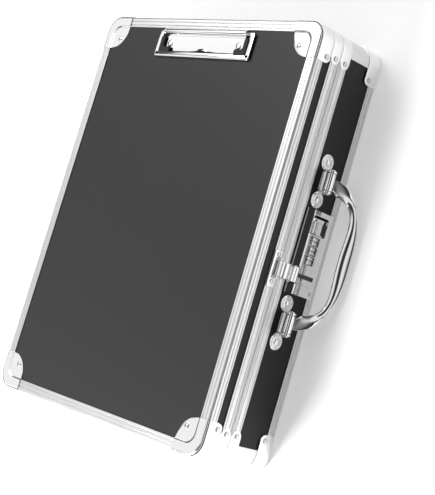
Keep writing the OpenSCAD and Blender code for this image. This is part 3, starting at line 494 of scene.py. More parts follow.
def plate(grid, thick, inside):
    """Sheet metal from a grid of points, shape (rows, columns, 3): the second side lies thick
    below the first, along the surface normal and towards the point inside, and strips close
    the four borders."""
    rows, cols = grid.shape[:2]
    normal = np.cross(np.gradient(grid, axis=0), np.gradient(grid, axis=1))
    normal /= np.linalg.norm(normal, axis=-1, keepdims=True) + 1e-12
    if np.einsum("ijk,ijk->", normal, grid - np.asarray(inside, float)) < 0:
        normal = -normal
    i = np.arange(rows * cols).reshape(rows, cols)
    quads = np.stack([i[:-1, :-1], i[1:, :-1], i[1:, 1:], i[:-1, 1:]], -1).reshape(-1, 4)
    border = np.concatenate([i[:-1, 0], i[-1, :-1], i[:0:-1, -1], i[0, :0:-1]])
    after = np.roll(border, -1)
    k = rows * cols
    rim = np.stack([border, after, after + k, border + k], -1)
    faces = np.concatenate([quads, quads[:, ::-1] + k, rim[:, ::-1]]).tolist()
    points = np.concatenate([grid.reshape(-1, 3), (grid - thick * normal).reshape(-1, 3)])
    return outward(points, faces)


def miter(path):
    """Direction out of each corner of a path that runs anticlockwise, long enough that moving
    by it moves both neighbouring edges out by one."""
    run = np.roll(path, -1, axis=0) - path
    run = run / (np.linalg.norm(run, axis=1, keepdims=True) + 1e-12)
    after = coords(run[:, 1], -run[:, 0])
    before = np.roll(after, 1, axis=0)
    return (before + after) / (1 + (before * after).sum(1, keepdims=True)).clip(0.3)


def ring(path, section, height):
    """Small section carried around a closed flat path. path is (n, 2), section is (m, 2): how
    far out from the path and how far up. height(points, up) places the result in space."""
    flat = path[None] + section[:, None, :1] * miter(path)[None]
    return loft(height(flat, section[:, 1:]), joined=True)


def rounded(corners, radius, steps=5):
    """Anticlockwise outline whose corners are replaced by curves: each is a quadratic blend
    that starts radius before the corner and ends radius after it."""
    corners = np.asarray(corners, float)
    radius = np.broadcast_to(radius, len(corners))[:, None]

    def toward(other):
        run = other - corners
        return run / np.linalg.norm(run, axis=1, keepdims=True)

    start = corners + toward(np.roll(corners, 1, axis=0)) * radius
    end = corners + toward(np.roll(corners, -1, axis=0)) * radius
    t = np.linspace(0, 1, steps + 1)[None, :, None]
    curve = ((1 - t) ** 2 * start[:, None] + 2 * t * (1 - t) * corners[:, None]
             + t ** 2 * end[:, None])
    return curve.reshape(-1, 2)


def block(x0, x1, y0, y1):
    """Corners of an upright rectangle, anticlockwise."""
    return [(x0, y0), (x1, y0), (x1, y1), (x0, y1)]


def slab(outline, low, high, round_low, round_high, height, steps=3):
    """Flat piece with rounded rims: the outline is stacked from low to high, and shrinks by a
    quarter circle at either end. height(points, up) places it in space."""
    angle = np.linspace(0, np.pi / 2, steps + 1)
    shrink = np.concatenate([round_low * (1 - np.sin(angle)), round_high * (1 - np.cos(angle))])
    level = np.concatenate([low + round_low * (1 - np.cos(angle)),
                            high - round_high * (1 - np.sin(angle))])
    flat = outline[None] - shrink[:, None, None] * miter(outline)[None]
    return loft(height(flat, level[:, None]))


def turned(profile, place, axis, around=28):
    """Turned piece: profile is (n, 2), radius and height, spun around axis through place."""
    axis = np.asarray(axis, float)
    side = np.cross(axis, [0.3, 0.5, 0.9])
    side /= np.linalg.norm(side)
    other = np.cross(axis, side)
    profile = np.asarray(profile, float)
    angle = np.arange(around) * 2 * np.pi / around
    spokes = np.cos(angle)[:, None] * side + np.sin(angle)[:, None] * other
    loops = (np.asarray(place, float) + profile[:, None, :1] * spokes[None]
             + profile[:, None, 1:] * axis)
    return loft(loops)


# %% From arrays to a piece that rides on the model
def merge(data, distance, work):
    """Merges the points of a mesh that lie closer than distance (m), then does work on it."""
    mesh = bmesh.new()
    mesh.from_mesh(data)
    bmesh.ops.remove_doubles(mesh, verts=mesh.verts, dist=distance)
    work(mesh)
    mesh.to_mesh(data)
    mesh.free()


def shade_and_link(name, data, material, angle):
    """Object with one material, shaded smooth except at edges sharper than angle (degrees)."""
    data.shade_smooth()
    data.set_sharp_from_angle(angle=math.radians(angle))
    data.materials.append(material)
    return in_scene(name, data)


def make_piece(name, shells, material, body, node=None,
               smooth=40.0):
    """One object from a list of (points in mm, faces), which rides on a body and stands for a
    CAD node. Doubled points at poles are merged."""
    starts = np.cumsum([0] + [len(points) for points, _ in shells[:-1]])
    points = np.concatenate([points for points, _ in shells]) * MM
    faces = [[int(k) + int(s) for k in face]
             for s, (_, shell_faces) in zip(starts, shells) for face in shell_faces]
    data = bpy.data.meshes.new(name)
    data.from_pydata(points.tolist(), [], faces)
    merge(data, 2e-7, lambda mesh: bmesh.ops.dissolve_degenerate(
        mesh, edges=mesh.edges, dist=1e-7))
    piece = shade_and_link(name, data, material, smooth)
    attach(piece, body)
    if node:
        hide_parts(node)


def soften(node, width, material, body, angle=35.0):
    """Copy of a cast or milled CAD node with its edges rounded: its triangles are merged, flat
    parts become single faces, and a Bevel modifier rounds what is left."""
    data = nodes[node].data.copy()
    data.materials.clear()
    merge(data, 2e-6, lambda mesh: bmesh.ops.dissolve_limit(
        mesh, angle_limit=math.radians(2), verts=mesh.verts, edges=mesh.edges,
        use_dissolve_boundaries=False))
    piece = shade_and_link(node + "_soft", data, material, angle)
    bevel = piece.modifiers.new("round", "BEVEL")
    bevel.width = width * MM
    bevel.segments = 2
    bevel.limit_method = "ANGLE"
    bevel.angle_limit = math.radians(angle)
    bevel.harden_normals = True
    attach(piece, body)
    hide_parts(node)


def blend(value, start, end):
    """Smooth step: 0 before start, 1 after end, an S curve between."""
    t = np.clip((value - start) / (end - start), 0, 1)
    return t * t * (3 - 2 * t)


# %% Sizes that the CAD nodes give
def box_mm(node):
    """Lowest and highest corner of a CAD node, in mm."""
    return np.array(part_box(node)) / MM


LOCK_LOW, LOCK_HIGH = box_mm("lid_edge_lock")
RIM_LOW, RIM_HIGH = box_mm("lid_rim_lock")
RUN_X, HALF_L = box_mm("lid_edge_ends")[1][:2]
HALF_W, RUN_Y, EDGE_TOP = LOCK_HIGH
CORNER = HALF_W - RUN_X
TOP = box_mm("lid_corner_caps")[1][2]
CAP_T = TOP - EDGE_TOP
EDGE_FACE, EDGE_SIDE = HALF_W - LOCK_LOW[0], EDGE_TOP - LOCK_LOW[2]
TONGUE = 2.5
PARTING = box_mm("base_rim_ends")[1][2] - TONGUE
LID_Z = RIM_LOW[2]
RIM_H = RIM_HIGH[2] - LID_Z
PANEL_TOP = box_mm("lid_panel")[1][2]
MIDDLE = (0, 0, 38)
print("case outline in mm:", 2 * HALF_W, 2 * HALF_L, TOP, "parting line", PARTING)

# %% [markdown]
# ## Aluminium extrusions
# The edges and rims are drawn through a die, so their section is the same all along: shallow
# grooves, a raised lip and a rounded nose. A section is a closed outline of points, and the
# piece is that outline carried from one end to the other. Each groove is a bell curve cut into a
# straight face, so that it keeps soft shoulders that catch the light.

# %% Extrusions
def extruded(section, start, end, place):
    """Closed outline (x across, y up, mm) carried straight from start to end, with a small
    bevel at both ends. place(across, up, along) gives points in space."""
    along = np.array([start, start + 0.15, end - 0.15, end])[:, None]
    shrink = np.array([0.12, 0.0, 0.0, 0.12])
    flat = section[None] - shrink[:, None, None] * miter(section)[None]
    return loft(place(flat[..., 0], flat[..., 1], along))


def grooved(start, end, level, grooves, inward, deep=0.28, wide=0.7):
    """Points along a straight face from start to end at a level, with a groove in the shape of
    a bell curve at each of the given places. inward is the sign of the way into the metal."""
    t = np.linspace(start, end, 90)
    depth = np.zeros_like(t)
    for place in grooves:
        depth = np.maximum(depth, deep * np.exp(-((t - place) / (wide * 0.42)) ** 2))
    return coords(t, level + inward * depth)


def arc(centre, radius, start, end, steps=7):
    """Points on a circle from one angle to another, in degrees."""
    a = np.radians(np.linspace(start, end, steps))
    return np.asarray(centre, float) + radius * coords(np.cos(a), np.sin(a))


def edge_outline():
    """Edge angle: x runs inwards from the side, y down from the large face. The face leg has a
    raised lip and a groove beside it, and the side leg a groove near its lower end."""
    t, r = 1.0, 2.5
    face = grooved(EDGE_FACE - 0.3, r, 0.0, (EDGE_FACE - 2.1, EDGE_FACE - 5.4), 1)
    nose = arc((r, r), r, 270, 180)
    side = grooved(r, EDGE_SIDE - 0.3, 0.0, (3.9, EDGE_SIDE - 1.7), 1)[:, ::-1]
    inner = np.array([[0.12, EDGE_SIDE], [t, EDGE_SIDE], [t, t], [EDGE_FACE, t],
                      [EDGE_FACE, 0.12]])
    return np.concatenate([face, nose, side, inner])


def rim_outline(up, tongue):
    """Rim: x runs inwards from the side, y up from the parting line (down for the base, which
    also has a tongue). The outside face is slightly crowned between its two grooves."""
    t, shelf = 1.0, 1.5
    y = np.linspace(0.15, RIM_H - 0.15, 90)
    x = np.maximum(0.1 * (2 * y / RIM_H - 1) ** 4, 0.7 * np.clip(1 - y / 0.45, 0, 1))
    for place in (1.5, 3.4, RIM_H - 1.6):
        x = np.maximum(x, 0.3 * np.exp(-((y - place) / 0.3) ** 2))
    depth = 4.0 + (1.5 if tongue else 0.0)
    inner = [[0.25, RIM_H], [t, RIM_H], [t, shelf], [depth, shelf]]
    if tongue:
        inner += [[depth, -TONGUE], [depth - 1.2, -TONGUE], [depth - 1.2, 0]]
    else:
        inner += [[depth, 0]]
    outline = np.concatenate([coords(x, y), inner, [[0.85, 0.0]]])
    return outline * [1, up]


def four_runs(name, outline, z, up, body):
    """One extrusion on each side of the case. name is edge or rim, z the height that the
    outline's y starts from, and up its direction."""
    def long_side(side):
        return extruded(outline, -RUN_Y, RUN_Y, lambda a, b, s: coords(
            side * (HALF_W - a), s, z + up * b))

    def end(side):
        return extruded(outline, -RUN_X, RUN_X, lambda a, b, s: coords(
            s, side * (HALF_L - a), z + up * b))

    for where, runs, axis in (("_lock", [long_side(1)], 1), ("_hinge", [long_side(-1)], 1),
                              ("_ends", [end(-1), end(1)], 0)):
        node = body + "_" + name + where
        make_piece(node + "_drawn", runs, ALUMINIUM[axis], body, node, 38.0)


EDGE = edge_outline()
four_runs("edge", EDGE, EDGE_TOP, -1, "lid")
four_runs("edge", EDGE, CAP_T, 1, "base")
four_runs("rim", rim_outline(1, False), LID_Z, 1, "lid")
four_runs("rim", rim_outline(1, True), PARTING, -1, "base")
print("extrusions:", len(EDGE), "points in the edge's section")

# %% [markdown]
# ## Corner caps and rim brackets
# A corner cap is pressed from one sheet: it wraps both sides, rolls over the edge in a fillet,
# and ends in a lobe that steps down onto the panel around its rivet. Its surface is a grid:
# one direction follows the outline of the corner, the other climbs the skirt, goes over the
# fillet and runs in to the lobe's edge. The step is a smooth function of the place in plan.

# %% Pressed corners
def corner_path(reach, count_run, count_arc):
    """Outline of a corner from one side to the other: distances inwards from both sides, the
    outward direction, and the larger of the two distances."""
    run = reach - CORNER
    s = np.linspace(1, 0, count_run, endpoint=False)
    s = np.sin(s * np.pi / 2) * run
    turn = np.linspace(0, np.pi / 2, count_arc)
    a = np.concatenate([np.zeros(count_run), CORNER * (1 - np.cos(turn)), CORNER + s[::-1]])
    b = np.concatenate([CORNER + s, CORNER * (1 - np.sin(turn)), np.zeros(count_run)])
    zero, one = np.zeros(count_run), np.ones(count_run)
    out_a = np.concatenate([one, np.cos(turn), zero])
    out_b = np.concatenate([zero, np.sin(turn), one])
    return coords(a, b), coords(out_a, out_b), np.maximum(a, b)


def to_corner(sx, sy, top, down):
    """Places points given as (inwards from the side, inwards from the end, depth)."""
    return lambda p: coords(sx * (HALF_W - p[..., 0]), sy * (HALF_L - p[..., 1]),
                            top + down * p[..., 2])


def cap_grid(thick, fillet=3.3, reach=30.9, skirt=16.0):
    """Outside of a corner cap. Rows climb the skirt, turn over the fillet by
    (1 - cos, 1 - sin) and run in to the lobe; columns follow the corner's outline."""
    path, out, far = corner_path(reach, 16, 22)
    tab = CAP_SIDE_Z + np.sqrt(np.maximum(TAB_R ** 2 - np.maximum(far - CAP_SIDE_AT, 0) ** 2, 0))
    low = np.where(far < CAP_SIDE_AT, skirt, np.maximum(tab, EDGE_SIDE + CAP_T))
    climb = np.linspace(0, 1, 8)[:, None]
    depth = low[None] * (1 - climb) + fillet * climb
    edge = 0.35 * np.exp(-((low[None] - depth) / 0.5) ** 2)
    skirt_rows = np.concatenate([path[None] - (thick - edge)[..., None] * out[None],
                                 depth[..., None]], -1)
    turn = np.linspace(0, np.pi / 2, 10)[1:, None]
    offset = thick - fillet * (1 - np.cos(turn))
    flat = path[None] - offset[..., None] * out[None]
    fillet_rows = coords(flat[..., 0], flat[..., 1], fillet * (1 - np.sin(turn)))
    start = flat[-1]
    rim = arc((LOBE_AT, LOBE_AT), LOBE_R, 92, -2, len(path))
    rim[0], rim[-1] = (EDGE_FACE, reach), (reach, EDGE_FACE)
    inward = np.linspace(0, 1, 30)[1:, None, None]
    flat = start[None] * (1 - inward) + rim[None] * inward
    window = flat - EDGE_FACE
    inside = 9.0 - np.hypot(*np.moveaxis(np.maximum(9.0 - window, 0), -1, 0))
    step = (PANEL_DROP - CAP_T) * blend(inside, -0.9, 0.9)
    roll = 0.3 * blend(inward[..., 0], 0.93, 1.0)
    top_rows = np.concatenate([flat, (step + roll)[..., None]], -1)
    return np.concatenate([skirt_rows, fillet_rows, top_rows])


def bracket_grid(thick, low, high, rivet_z, reach=28.7):
    """Outside of a rim bracket: the sheet follows the corner, ends in round tabs about its
    rivets, and its two long edges roll inwards slightly."""
    path, out, far = corner_path(reach, 14, 20)
    past = np.maximum(far - BRACKET_AT, 0)
    tab = np.sqrt(np.maximum(TAB_R ** 2 - past ** 2, 0.02))
    bottom = np.where(past > 0, np.maximum(rivet_z - tab, low), low)
    top = np.where(past > 0, np.minimum(rivet_z + tab, high), high)
    v = np.linspace(0, 1, 13)[:, None]
    z = bottom[None] * (1 - v) + top[None] * v
    edge = 0.3 * (2 * v - 1) ** 8
    flat = path[None] - (thick - edge)[..., None] * out[None]
    return np.concatenate([flat, z[..., None]], -1)


CAP_SIDE_AT, CAP_SIDE_Z, TAB_R, BRACKET_AT = 26.0, 11.5, 4.8, 24.0
LOBE_AT, LOBE_R, CAP_RIVET_AT = 10.5, 20.0, 21.6
PANEL_DROP = TOP - PANEL_TOP
CORNERS = [(sx, sy) for sx in (-1, 1) for sy in (-1, 1)]
CAP_SHEET, BRACKET_SHEET = 0.7, 0.6
cap = cap_grid(CAP_SHEET)
for body, top, down in (("lid", TOP, -1), ("base", 0.0, 1)):
    sheets = [plate(to_corner(sx, sy, top, down)(cap), CAP_SHEET, MIDDLE) for sx, sy in CORNERS]
    make_piece(body + "_caps_pressed", sheets, CAP_CHROME, body, body + "_corner_caps",
               50)
BASE_BRACKET_Z = PARTING - 0.2 - TAB_R - 1
LID_BRACKET_Z = LID_Z + TAB_R + 0.4
for body, low, high, mid in (("lid", LID_Z, LID_Z + 10.8, LID_BRACKET_Z),
                             ("base", PARTING - 11.0, PARTING - 0.2, BASE_BRACKET_Z)):
    grid = bracket_grid(BRACKET_SHEET, low, high, mid)
    sheets = [plate(to_corner(sx, sy, 0.0, 1)(grid), BRACKET_SHEET, MIDDLE) for sx, sy in CORNERS]
    make_piece(body + "_brackets_pressed", sheets, CAP_CHROME, body, body + "_rim_brackets",
               50)
print("cap grid:", cap.shape, "bracket grid:", grid.shape)

# %% [markdown]
# ## Rivets
# Every rivet is a turned dome with a thin flange. The same profile, spun about each rivet's own
# axis, gives them all. The domes are small mirrors, so their roundness matters more than their
# size: each one shows a bright spot and a dark crescent.

# %% Rivets
def rivet_profile(radius, height, shank=1.0):
    """Radius and height of a rivet: shank, thin flange, then a dome that follows a circle."""
    t = np.linspace(0, np.pi / 2, 8)
    dome = coords((radius - 0.25) * np.cos(t), 0.25 + (height - 0.25) * np.sin(t))
    foot = [[0.6 * radius, -shank], [0.6 * radius, 0], [radius, 0], [radius, 0.2]]
    return np.concatenate([foot, dome])


def rivet_set(name, node, body, spots, radius, height, material=RIVET_CHROME):
    """All the rivets of one CAD node. spots is a list of (place, axis)."""
    profile = rivet_profile(radius, height)
    make_piece(name, [turned(profile, place, axis, 24) for place, axis in spots], material,
               body, node, 50)


def corner_spots(top, down, bracket_z):
    """Places of the five rivets at each corner: one on the face and two on either side."""
    spots = []
    cap_z = top + down * CAP_SIDE_Z
    for sx, sy in CORNERS:
        spots.append(((sx * (HALF_W - CAP_RIVET_AT), sy * (HALF_L - CAP_RIVET_AT),
                       top + down * (PANEL_DROP - CAP_T)), (0, 0, -down)))
        for thick, at, z in ((CAP_SHEET, CAP_SIDE_AT, cap_z),
                             (BRACKET_SHEET, BRACKET_AT, bracket_z)):
            spots.append(((sx * (HALF_W + thick), sy * (HALF_L - at), z), (sx, 0, 0)))
            spots.append(((sx * (HALF_W - at), sy * (HALF_L + thick), z), (0, sy, 0)))
    return spots


for body, top, down, bracket_z in (("lid", TOP, -1, LID_BRACKET_Z),
                                   ("base", 0.0, 1, BASE_BRACKET_Z)):
    rivet_set(body + "_rivet_domes", body + "_rivets", body, corner_spots(top, down, bracket_z),
              2.4, 1.05)
HINGE_SHEET = 0.8
HINGE_Y = [(i - 3) * 40.0 for i in range(7)]
for body, side in (("base", -1), ("lid", 1)):
    rivet_set("hinge_rivet_domes_" + body, "hinge_rivets_" + body, body,
              [((-HALF_W - HINGE_SHEET, y, PARTING + side * 5.4), (-1, 0, 0)) for y in HINGE_Y],
              2.0, 0.75)

# %% [markdown]
# ## Handle
# The handle is a plated zinc casting: a rounded D that hangs on two pins. Its arms are broad and
# nearly flat where they meet the pins, and narrow into a full, round grip that swells towards
# the middle. A crisp ridge runs along it: close to the inner edge on the arms and close to the
# outer edge on the grip. One grid gives all of that, with a cross-section that changes as it
# goes from one pin to the other.

# %% Handle
PIN = np.array([box_mm("handle_brackets")[1][0] - 4.0, 0.0, 30.0])
BRACKET_Y = 57.5
REST = math.radians(53.0)
REACH, GRIP_W, ARM_W, EYE_LEN = 33.7, 7.4, 13.6, 14.2
ALONG = np.array([0.0, 1.0, 0.0])


def rounded_d(t, width, reach, square):
    """Point on a rounded D: (width |cos t|^(2/n), reach |sin t|^(2/n)) with n the squareness."""
    c, s = np.cos(t), np.sin(t)
    return coords(width * np.sign(c) * np.abs(c) ** (2 / square),
                  reach * np.abs(s) ** (2 / square))


def handle_grid(rows=150, across=18, behind=12):
    """Cross-sections along the handle. For each row the outer and inner edges come from two
    rounded Ds. Across it the front rises to a ridge and falls as an ellipse towards the inner
    edge; the back is a flattened ellipse."""
    t = np.linspace(0.03, np.pi - 0.03, rows)
    outer_w = BRACKET_Y + ARM_W / 4
    outer = rounded_d(t, outer_w, REACH, 2.4)
    inner = rounded_d(t, outer_w - ARM_W, REACH - GRIP_W, 3.8)
    swell = 2.8 * np.cos(np.pi / 2 * inner[:, 0] / (outer_w - ARM_W)) ** 2
    inner[:, 1] -= swell * inner[:, 1] / (REACH - GRIP_W)
    clear = BRACKET_Y - EYE_LEN / 2 + 0.1
    near = 1 - blend(inner[:, 1], 4.8, 9.0)
    pulled = np.sign(inner[:, 0]) * np.maximum(np.abs(inner[:, 0]), clear)
    inner[:, 0] += near * (pulled - inner[:, 0])
    far = blend(0.5 * (outer[:, 1] + inner[:, 1]) / REACH, 0.12, 0.82)
    ridge = (-0.7 + 1.42 * far)[:, None]
    half = (2.1 + 0.85 * far)[:, None]
    q = np.sin(np.linspace(-np.pi / 2, np.pi / 2, across))[None]
    fall = np.clip((ridge - q) / (ridge + 1), 0, 1)
    front = np.sqrt(np.clip(1 - fall ** 2.2, 0, 1))
    facet = 1 - (0.28 + 0.3 * far[:, None]) * np.clip((q - ridge) / (1 - ridge), 0, 1)
    rim = np.sqrt(np.clip(1 - np.clip((q - 0.9) / 0.1, 0, 1) ** 2, 0, 1))
    front = half * np.where(q > ridge, facet, front) * np.where(q > ridge, rim * 0.75 + 0.25, 1)
    p = np.cos(np.linspace(0, np.pi, behind + 2))[None, 1:-1]
    back = -half * (1 - np.abs(p) ** 3.0) ** (1 / 3.0) * 0.95
    span = np.concatenate([np.broadcast_to(q, front.shape), np.broadcast_to(p, back.shape)], 1)
    lift = np.concatenate([front, back], 1)
    share = (span[..., None] + 1) / 2
    flat = inner[:, None] * (1 - share) + outer[:, None] * share
    return flat, lift


def hang(flat, lift):
    """From the handle's own plane (along the case, reach, thickness) to its hanging place."""
    reach_dir = np.array([math.cos(REST), 0, -math.sin(REST)])
    face_dir = np.array([math.sin(REST), 0, math.cos(REST)])
    return (PIN + flat[..., :1] * ALONG + flat[..., 1:2] * reach_dir
            + lift[..., None] * face_dir)


def eye_profile(radius, half, round_off=0.5):
    """Radius and height of a barrel with rounded rims."""
    t = np.linspace(0, np.pi / 2, 5)
    rim = coords(radius - round_off * (1 - np.sin(t)), half - round_off * (1 - np.cos(t)))
    return np.concatenate([[[0.6, -half]], rim * [1, -1], rim[::-1], [[0.6, half]]])


flat, lift = handle_grid()
eyes = [turned(eye_profile(3.9, EYE_LEN / 2), PIN + [0, s * BRACKET_Y, 0], (0, 1, 0), 40)
        for s in (-1, 1)]
make_piece("handle_cast", [loft(hang(flat, lift))] + eyes, CHROME, "handle", "handle", smooth=34)
print("handle grid:", lift.shape)

# %% Handle brackets, pins and rivets
BOARD_X = HALF_W - 1.0


def facing_x(x0, y0, z0):
    """Places a flat outline on the lock side: (along the case, up) and height outwards."""
    return lambda p, up: coords(x0 + up, y0 + p[..., 0], z0 + p[..., 1])


def facing_y(x0, y0, z0):
    """Places a flat outline upright across the case: (outwards, up) and height along it."""
    return lambda p, up: coords(x0 + p[..., 0], y0 + up, z0 + p[..., 1])


def strap_outline(lobe_at, lobe_r=6.8, waist=2.2, steps=60):
    """Two round lobes joined by a strap: the half height is the larger of the strap's and the
    nearest lobe's circle."""
    y = (lobe_at + lobe_r) * np.sin(np.linspace(-np.pi / 2, np.pi / 2, steps))
    lobe = np.sqrt(np.clip(lobe_r ** 2 - (np.abs(y) - lobe_at) ** 2, 0, None))
    half = np.where(np.abs(y) < lobe_at, np.maximum(lobe, waist), lobe)
    return np.concatenate([coords(y, -half), coords(y, half)[-2:0:-1]])


def ear_outline():
    """Side view of an ear: a block from the board that ends in a half circle about the pin."""
    reach = PIN[0] - BOARD_X
    nose = arc((reach, 0), 4.0, -90, 90, 15)
    return np.concatenate([[[0.2, -4.6]], nose, [[0.2, 4.6]]])


LOBE_Y, EAR_Y, PIN_END = 15.3, 8.3, 9.25
STRAP, EAR = strap_outline(LOBE_Y), ear_outline()
half_turn, quarter = np.linspace(0, np.pi, 9), np.linspace(0, np.pi / 2, 6)
raised = coords(4.9 - 0.8 * np.cos(half_turn), 0.55 * np.sin(half_turn))
raised = np.concatenate([[[1.5, -0.2], [4.1, -0.2]], raised, [[5.7, -0.2]]])[::-1]
head = coords(2.7 * np.cos(quarter), 0.4 + 1.0 * np.sin(quarter))
head = np.concatenate([[[1.5, -1.2], [1.5, 0], [2.7, 0]], head])
shells, heads, bosses = [], [], []
for s in (-1, 1):
    y0 = s * BRACKET_Y
    shells.append(slab(STRAP, 0, 1.4, 0.05, 0.6, facing_x(BOARD_X, y0, PIN[2])))
    for e in (-1, 1):
        shells.append(slab(EAR, -0.9, 0.9, 0.3, 0.3, facing_y(BOARD_X, y0 + e * EAR_Y, PIN[2])))
        lobe = np.array([BOARD_X + 1.3, y0 + e * LOBE_Y, PIN[2]])
        shells.append(turned(raised, lobe, (1, 0, 0), 32))
        bosses.append((lobe + [0.1, 0, 0], (1, 0, 0)))
        heads.append(turned(head, (PIN[0], y0 + e * PIN_END, PIN[2]), (0, e, 0), 28))
    heads.append(turned([[1.5, -9.3], [1.5, 9.3]], (PIN[0], y0, PIN[2]), (0, 1, 0), 20))
make_piece("handle_bracket_castings", shells, CHROME, "base", "handle_brackets")
make_piece("handle_pin_heads", heads, RIVET_CHROME, "base", "handle_pins")
rivet_set("handle_bracket_domes", "handle_bracket_rivets", "base", bosses, 3.1, 1.5, CHROME)

# %% [markdown]
# ## Lock and hasp
# The lock's body and its end cover are castings with crisp but not sharp edges. Their CAD shapes
# are right, so copies of them get a small Bevel. The slide button, the window frames, the dials
# with their numbers and the hasp are new surfaces.

# %% Lock castings and window frames
LOCK_X = BOARD_X + 5.5
DIAL_R, DIAL_OUT, DIAL_PITCH = 6.35, 1.1, 7.65
DIAL_X, DIAL_Z = LOCK_X + DIAL_OUT - 6.5, 24.5
DIAL_Y = [2.3 + DIAL_PITCH, 2.3, 2.3 - DIAL_PITCH]
soften("lock_body", 0.3, CHROME, "base", 20.0)
soften("lock_end_cover", 0.25, CHROME, "base")
soften("lock_screws", 0.12, STEEL, "base")
soften("lock_backplate", 0.3, STEEL, "base")


def frame_ring(y0, y1, z0, z1, wide, tall, corner=0.5):
    """Raised frame around a window: a small half-round section carried round a rectangle."""
    path = rounded(block(y0, y1, z0, z1), corner)
    t = np.linspace(0, np.pi, 7)
    section = coords(wide / 2 + wide / 2 * np.cos(t), tall * np.sin(t))
    section = np.concatenate([section, [[0.0, -0.4], [wide, -0.4]]])
    return ring(path, section, ON_LOCK)


ON_LOCK = facing_x(LOCK_X, 0, 0)

HALF_WINDOW_Y, HALF_WINDOW_Z = 3.45, 5.2
frames = [frame_ring(y - HALF_WINDOW_Y, y + HALF_WINDOW_Y, DIAL_Z - HALF_WINDOW_Z,
                     DIAL_Z + HALF_WINDOW_Z, 0.45, 0.35) for y in DIAL_Y]
frames.append(frame_ring(15.0, 30.0, 15.2, 32.0, 0.7, 0.45, 1.0))
make_piece("lock_window_frames", frames, CHROME, "base")

# Painted shade: a dark plate laid in the slot beside the button, where the recess would be in
# shade.
slot_shade_outline = rounded(block(-20.4, -17.1, 13.0, 30.8), 0.5)
make_piece("lock_slot_painted_shade", [slab(slot_shade_outline, -1.3, -0.85, 0.05, 0.15, ON_LOCK)], PAINTED_SLOT_SHADE, "base")

# %% Slide button
BUTTON_Y, BUTTON_Z = (15.3, 25.7), (15.5, 31.7)


def button_rib(z0, z1, top):
    """Half-round rib along the button: its section is half an ellipse from z0 to z1."""
    t = np.linspace(0, np.pi, 13)
    middle, half = (z0 + z1) / 2, (z1 - z0) / 2
    x, z = (top + 1.8) * np.sin(t) - 1.8, middle - half * np.cos(t)
    ends = np.array([BUTTON_Y[0] + 0.2, BUTTON_Y[0] + 0.6, BUTTON_Y[1] - 0.6, BUTTON_Y[1] - 0.2])
    shrink = np.array([0.7, 1.0, 1.0, 0.7])[:, None]
    return loft(coords(LOCK_X - 1.8 + (x + 1.8) * shrink, ends[:, None],
                       middle + (z - middle) * shrink))


def thumb_slope(radius=7.4, low=0.45, fall=0.5, steps=16):
    """Quarter disc that the thumb pushes: it leans back, deeper by fall for each mm up."""
    turn = np.linspace(0, np.pi / 2, steps)
    y = BUTTON_Y[1] - 0.4 - np.concatenate([[0], (radius + 2) * np.cos(turn)])
    z = BUTTON_Z[0] + 0.5 + np.concatenate([[0], radius * np.sin(turn)])
    top = np.array([[0.0], [1.0]])
    return loft(coords(LOCK_X + (low - fall * (z - z[0])) * top - 2.9 * (1 - top), y, z))


tongue = rounded(block(16.0, 28.4, 14.6, 32.2), 1.0)
button = rounded(block(*BUTTON_Y, *BUTTON_Z), 1.2)
shells = [slab(tongue, -3.0, -1.7, 0.2, 0.2, ON_LOCK), slab(button, -2.8, -1.2, 0.2, 0.4, ON_LOCK),
          button_rib(27.6, 31.3, 0.8), button_rib(24.3, 26.4, 0.5), thumb_slope()]
make_piece("slide_button_cast", shells, CHROME, "slide_button", "lock_slider")

# %% Dials with numbers
def dial_grid(radius=DIAL_R, half=3.15, around=160, digits=10, deep=0.75):
    """Turned dial whose rim is notched: at the angle t the radius dips by
    deep * max(0, cos(10 t))^3, and its two rims are rounded."""
    t = np.arange(around) * 2 * np.pi / around
    notch = np.clip(np.cos(digits * t), 0, 1) ** 3
    along = np.array([-half, -half, -half + 0.35, -half + 0.9])
    along = np.concatenate([along, -along[::-1]])[:, None]
    share = np.array([0.55, 0.93, 1.0, 1.0, 1.0, 1.0, 0.93, 0.55])[:, None]
    r = radius * share - np.where(share > 0.9, deep, 0.0) * notch[None]
    return coords(r * np.cos(t), along, r * np.sin(t))


def digit_meshes():
    """The ten digits as thin solids (mm), made with Blender's own font and turned into meshes."""
    made = []
    for k in range(10):
        curve = bpy.data.curves.new("digit_curve", "FONT")
        curve.body = str(k)
        curve.size = 3.9
        curve.align_x, curve.align_y = "CENTER", "CENTER"
        curve.resolution_u = 2
        curve.extrude = 0.12
        holder = bpy.data.objects.new("digit_holder", curve)
        data = bpy.data.meshes.new_from_object(holder)
        points = np.empty(len(data.vertices) * 3)
        data.vertices.foreach_get("co", points)
        faces = [list(p.vertices) for p in data.polygons]
        made.append((points.reshape(-1, 3), faces))
        bpy.data.objects.remove(holder)
        bpy.data.curves.remove(curve)
        bpy.data.meshes.remove(data)
    return made


DIGITS = digit_meshes()
for number, y in enumerate(DIAL_Y, 1):
    body = "dial_%d" % number
    centre = np.array([DIAL_X, y, DIAL_Z])
    make_piece(body + "_knurled", [loft(dial_grid() + centre)], DIAL_METAL, body, body,
               30)
    marks = []
    for k, (points, faces) in enumerate(DIGITS):
        a = (k + 0.5) * 2 * np.pi / 10
        radial = np.array([math.cos(a), 0, math.sin(a)])
        upright = np.array([-math.sin(a), 0, math.cos(a)])
        marks.append((centre + (DIAL_R - 0.05) * radial + points[:, :1] * ALONG
                      + points[:, 1:2] * upright + points[:, 2:] * radial, faces))
    make_piece(body + "_numbers", marks, NUMBER_INK, body, None, 30)
print("digits:", [len(f) for _, f in DIGITS])

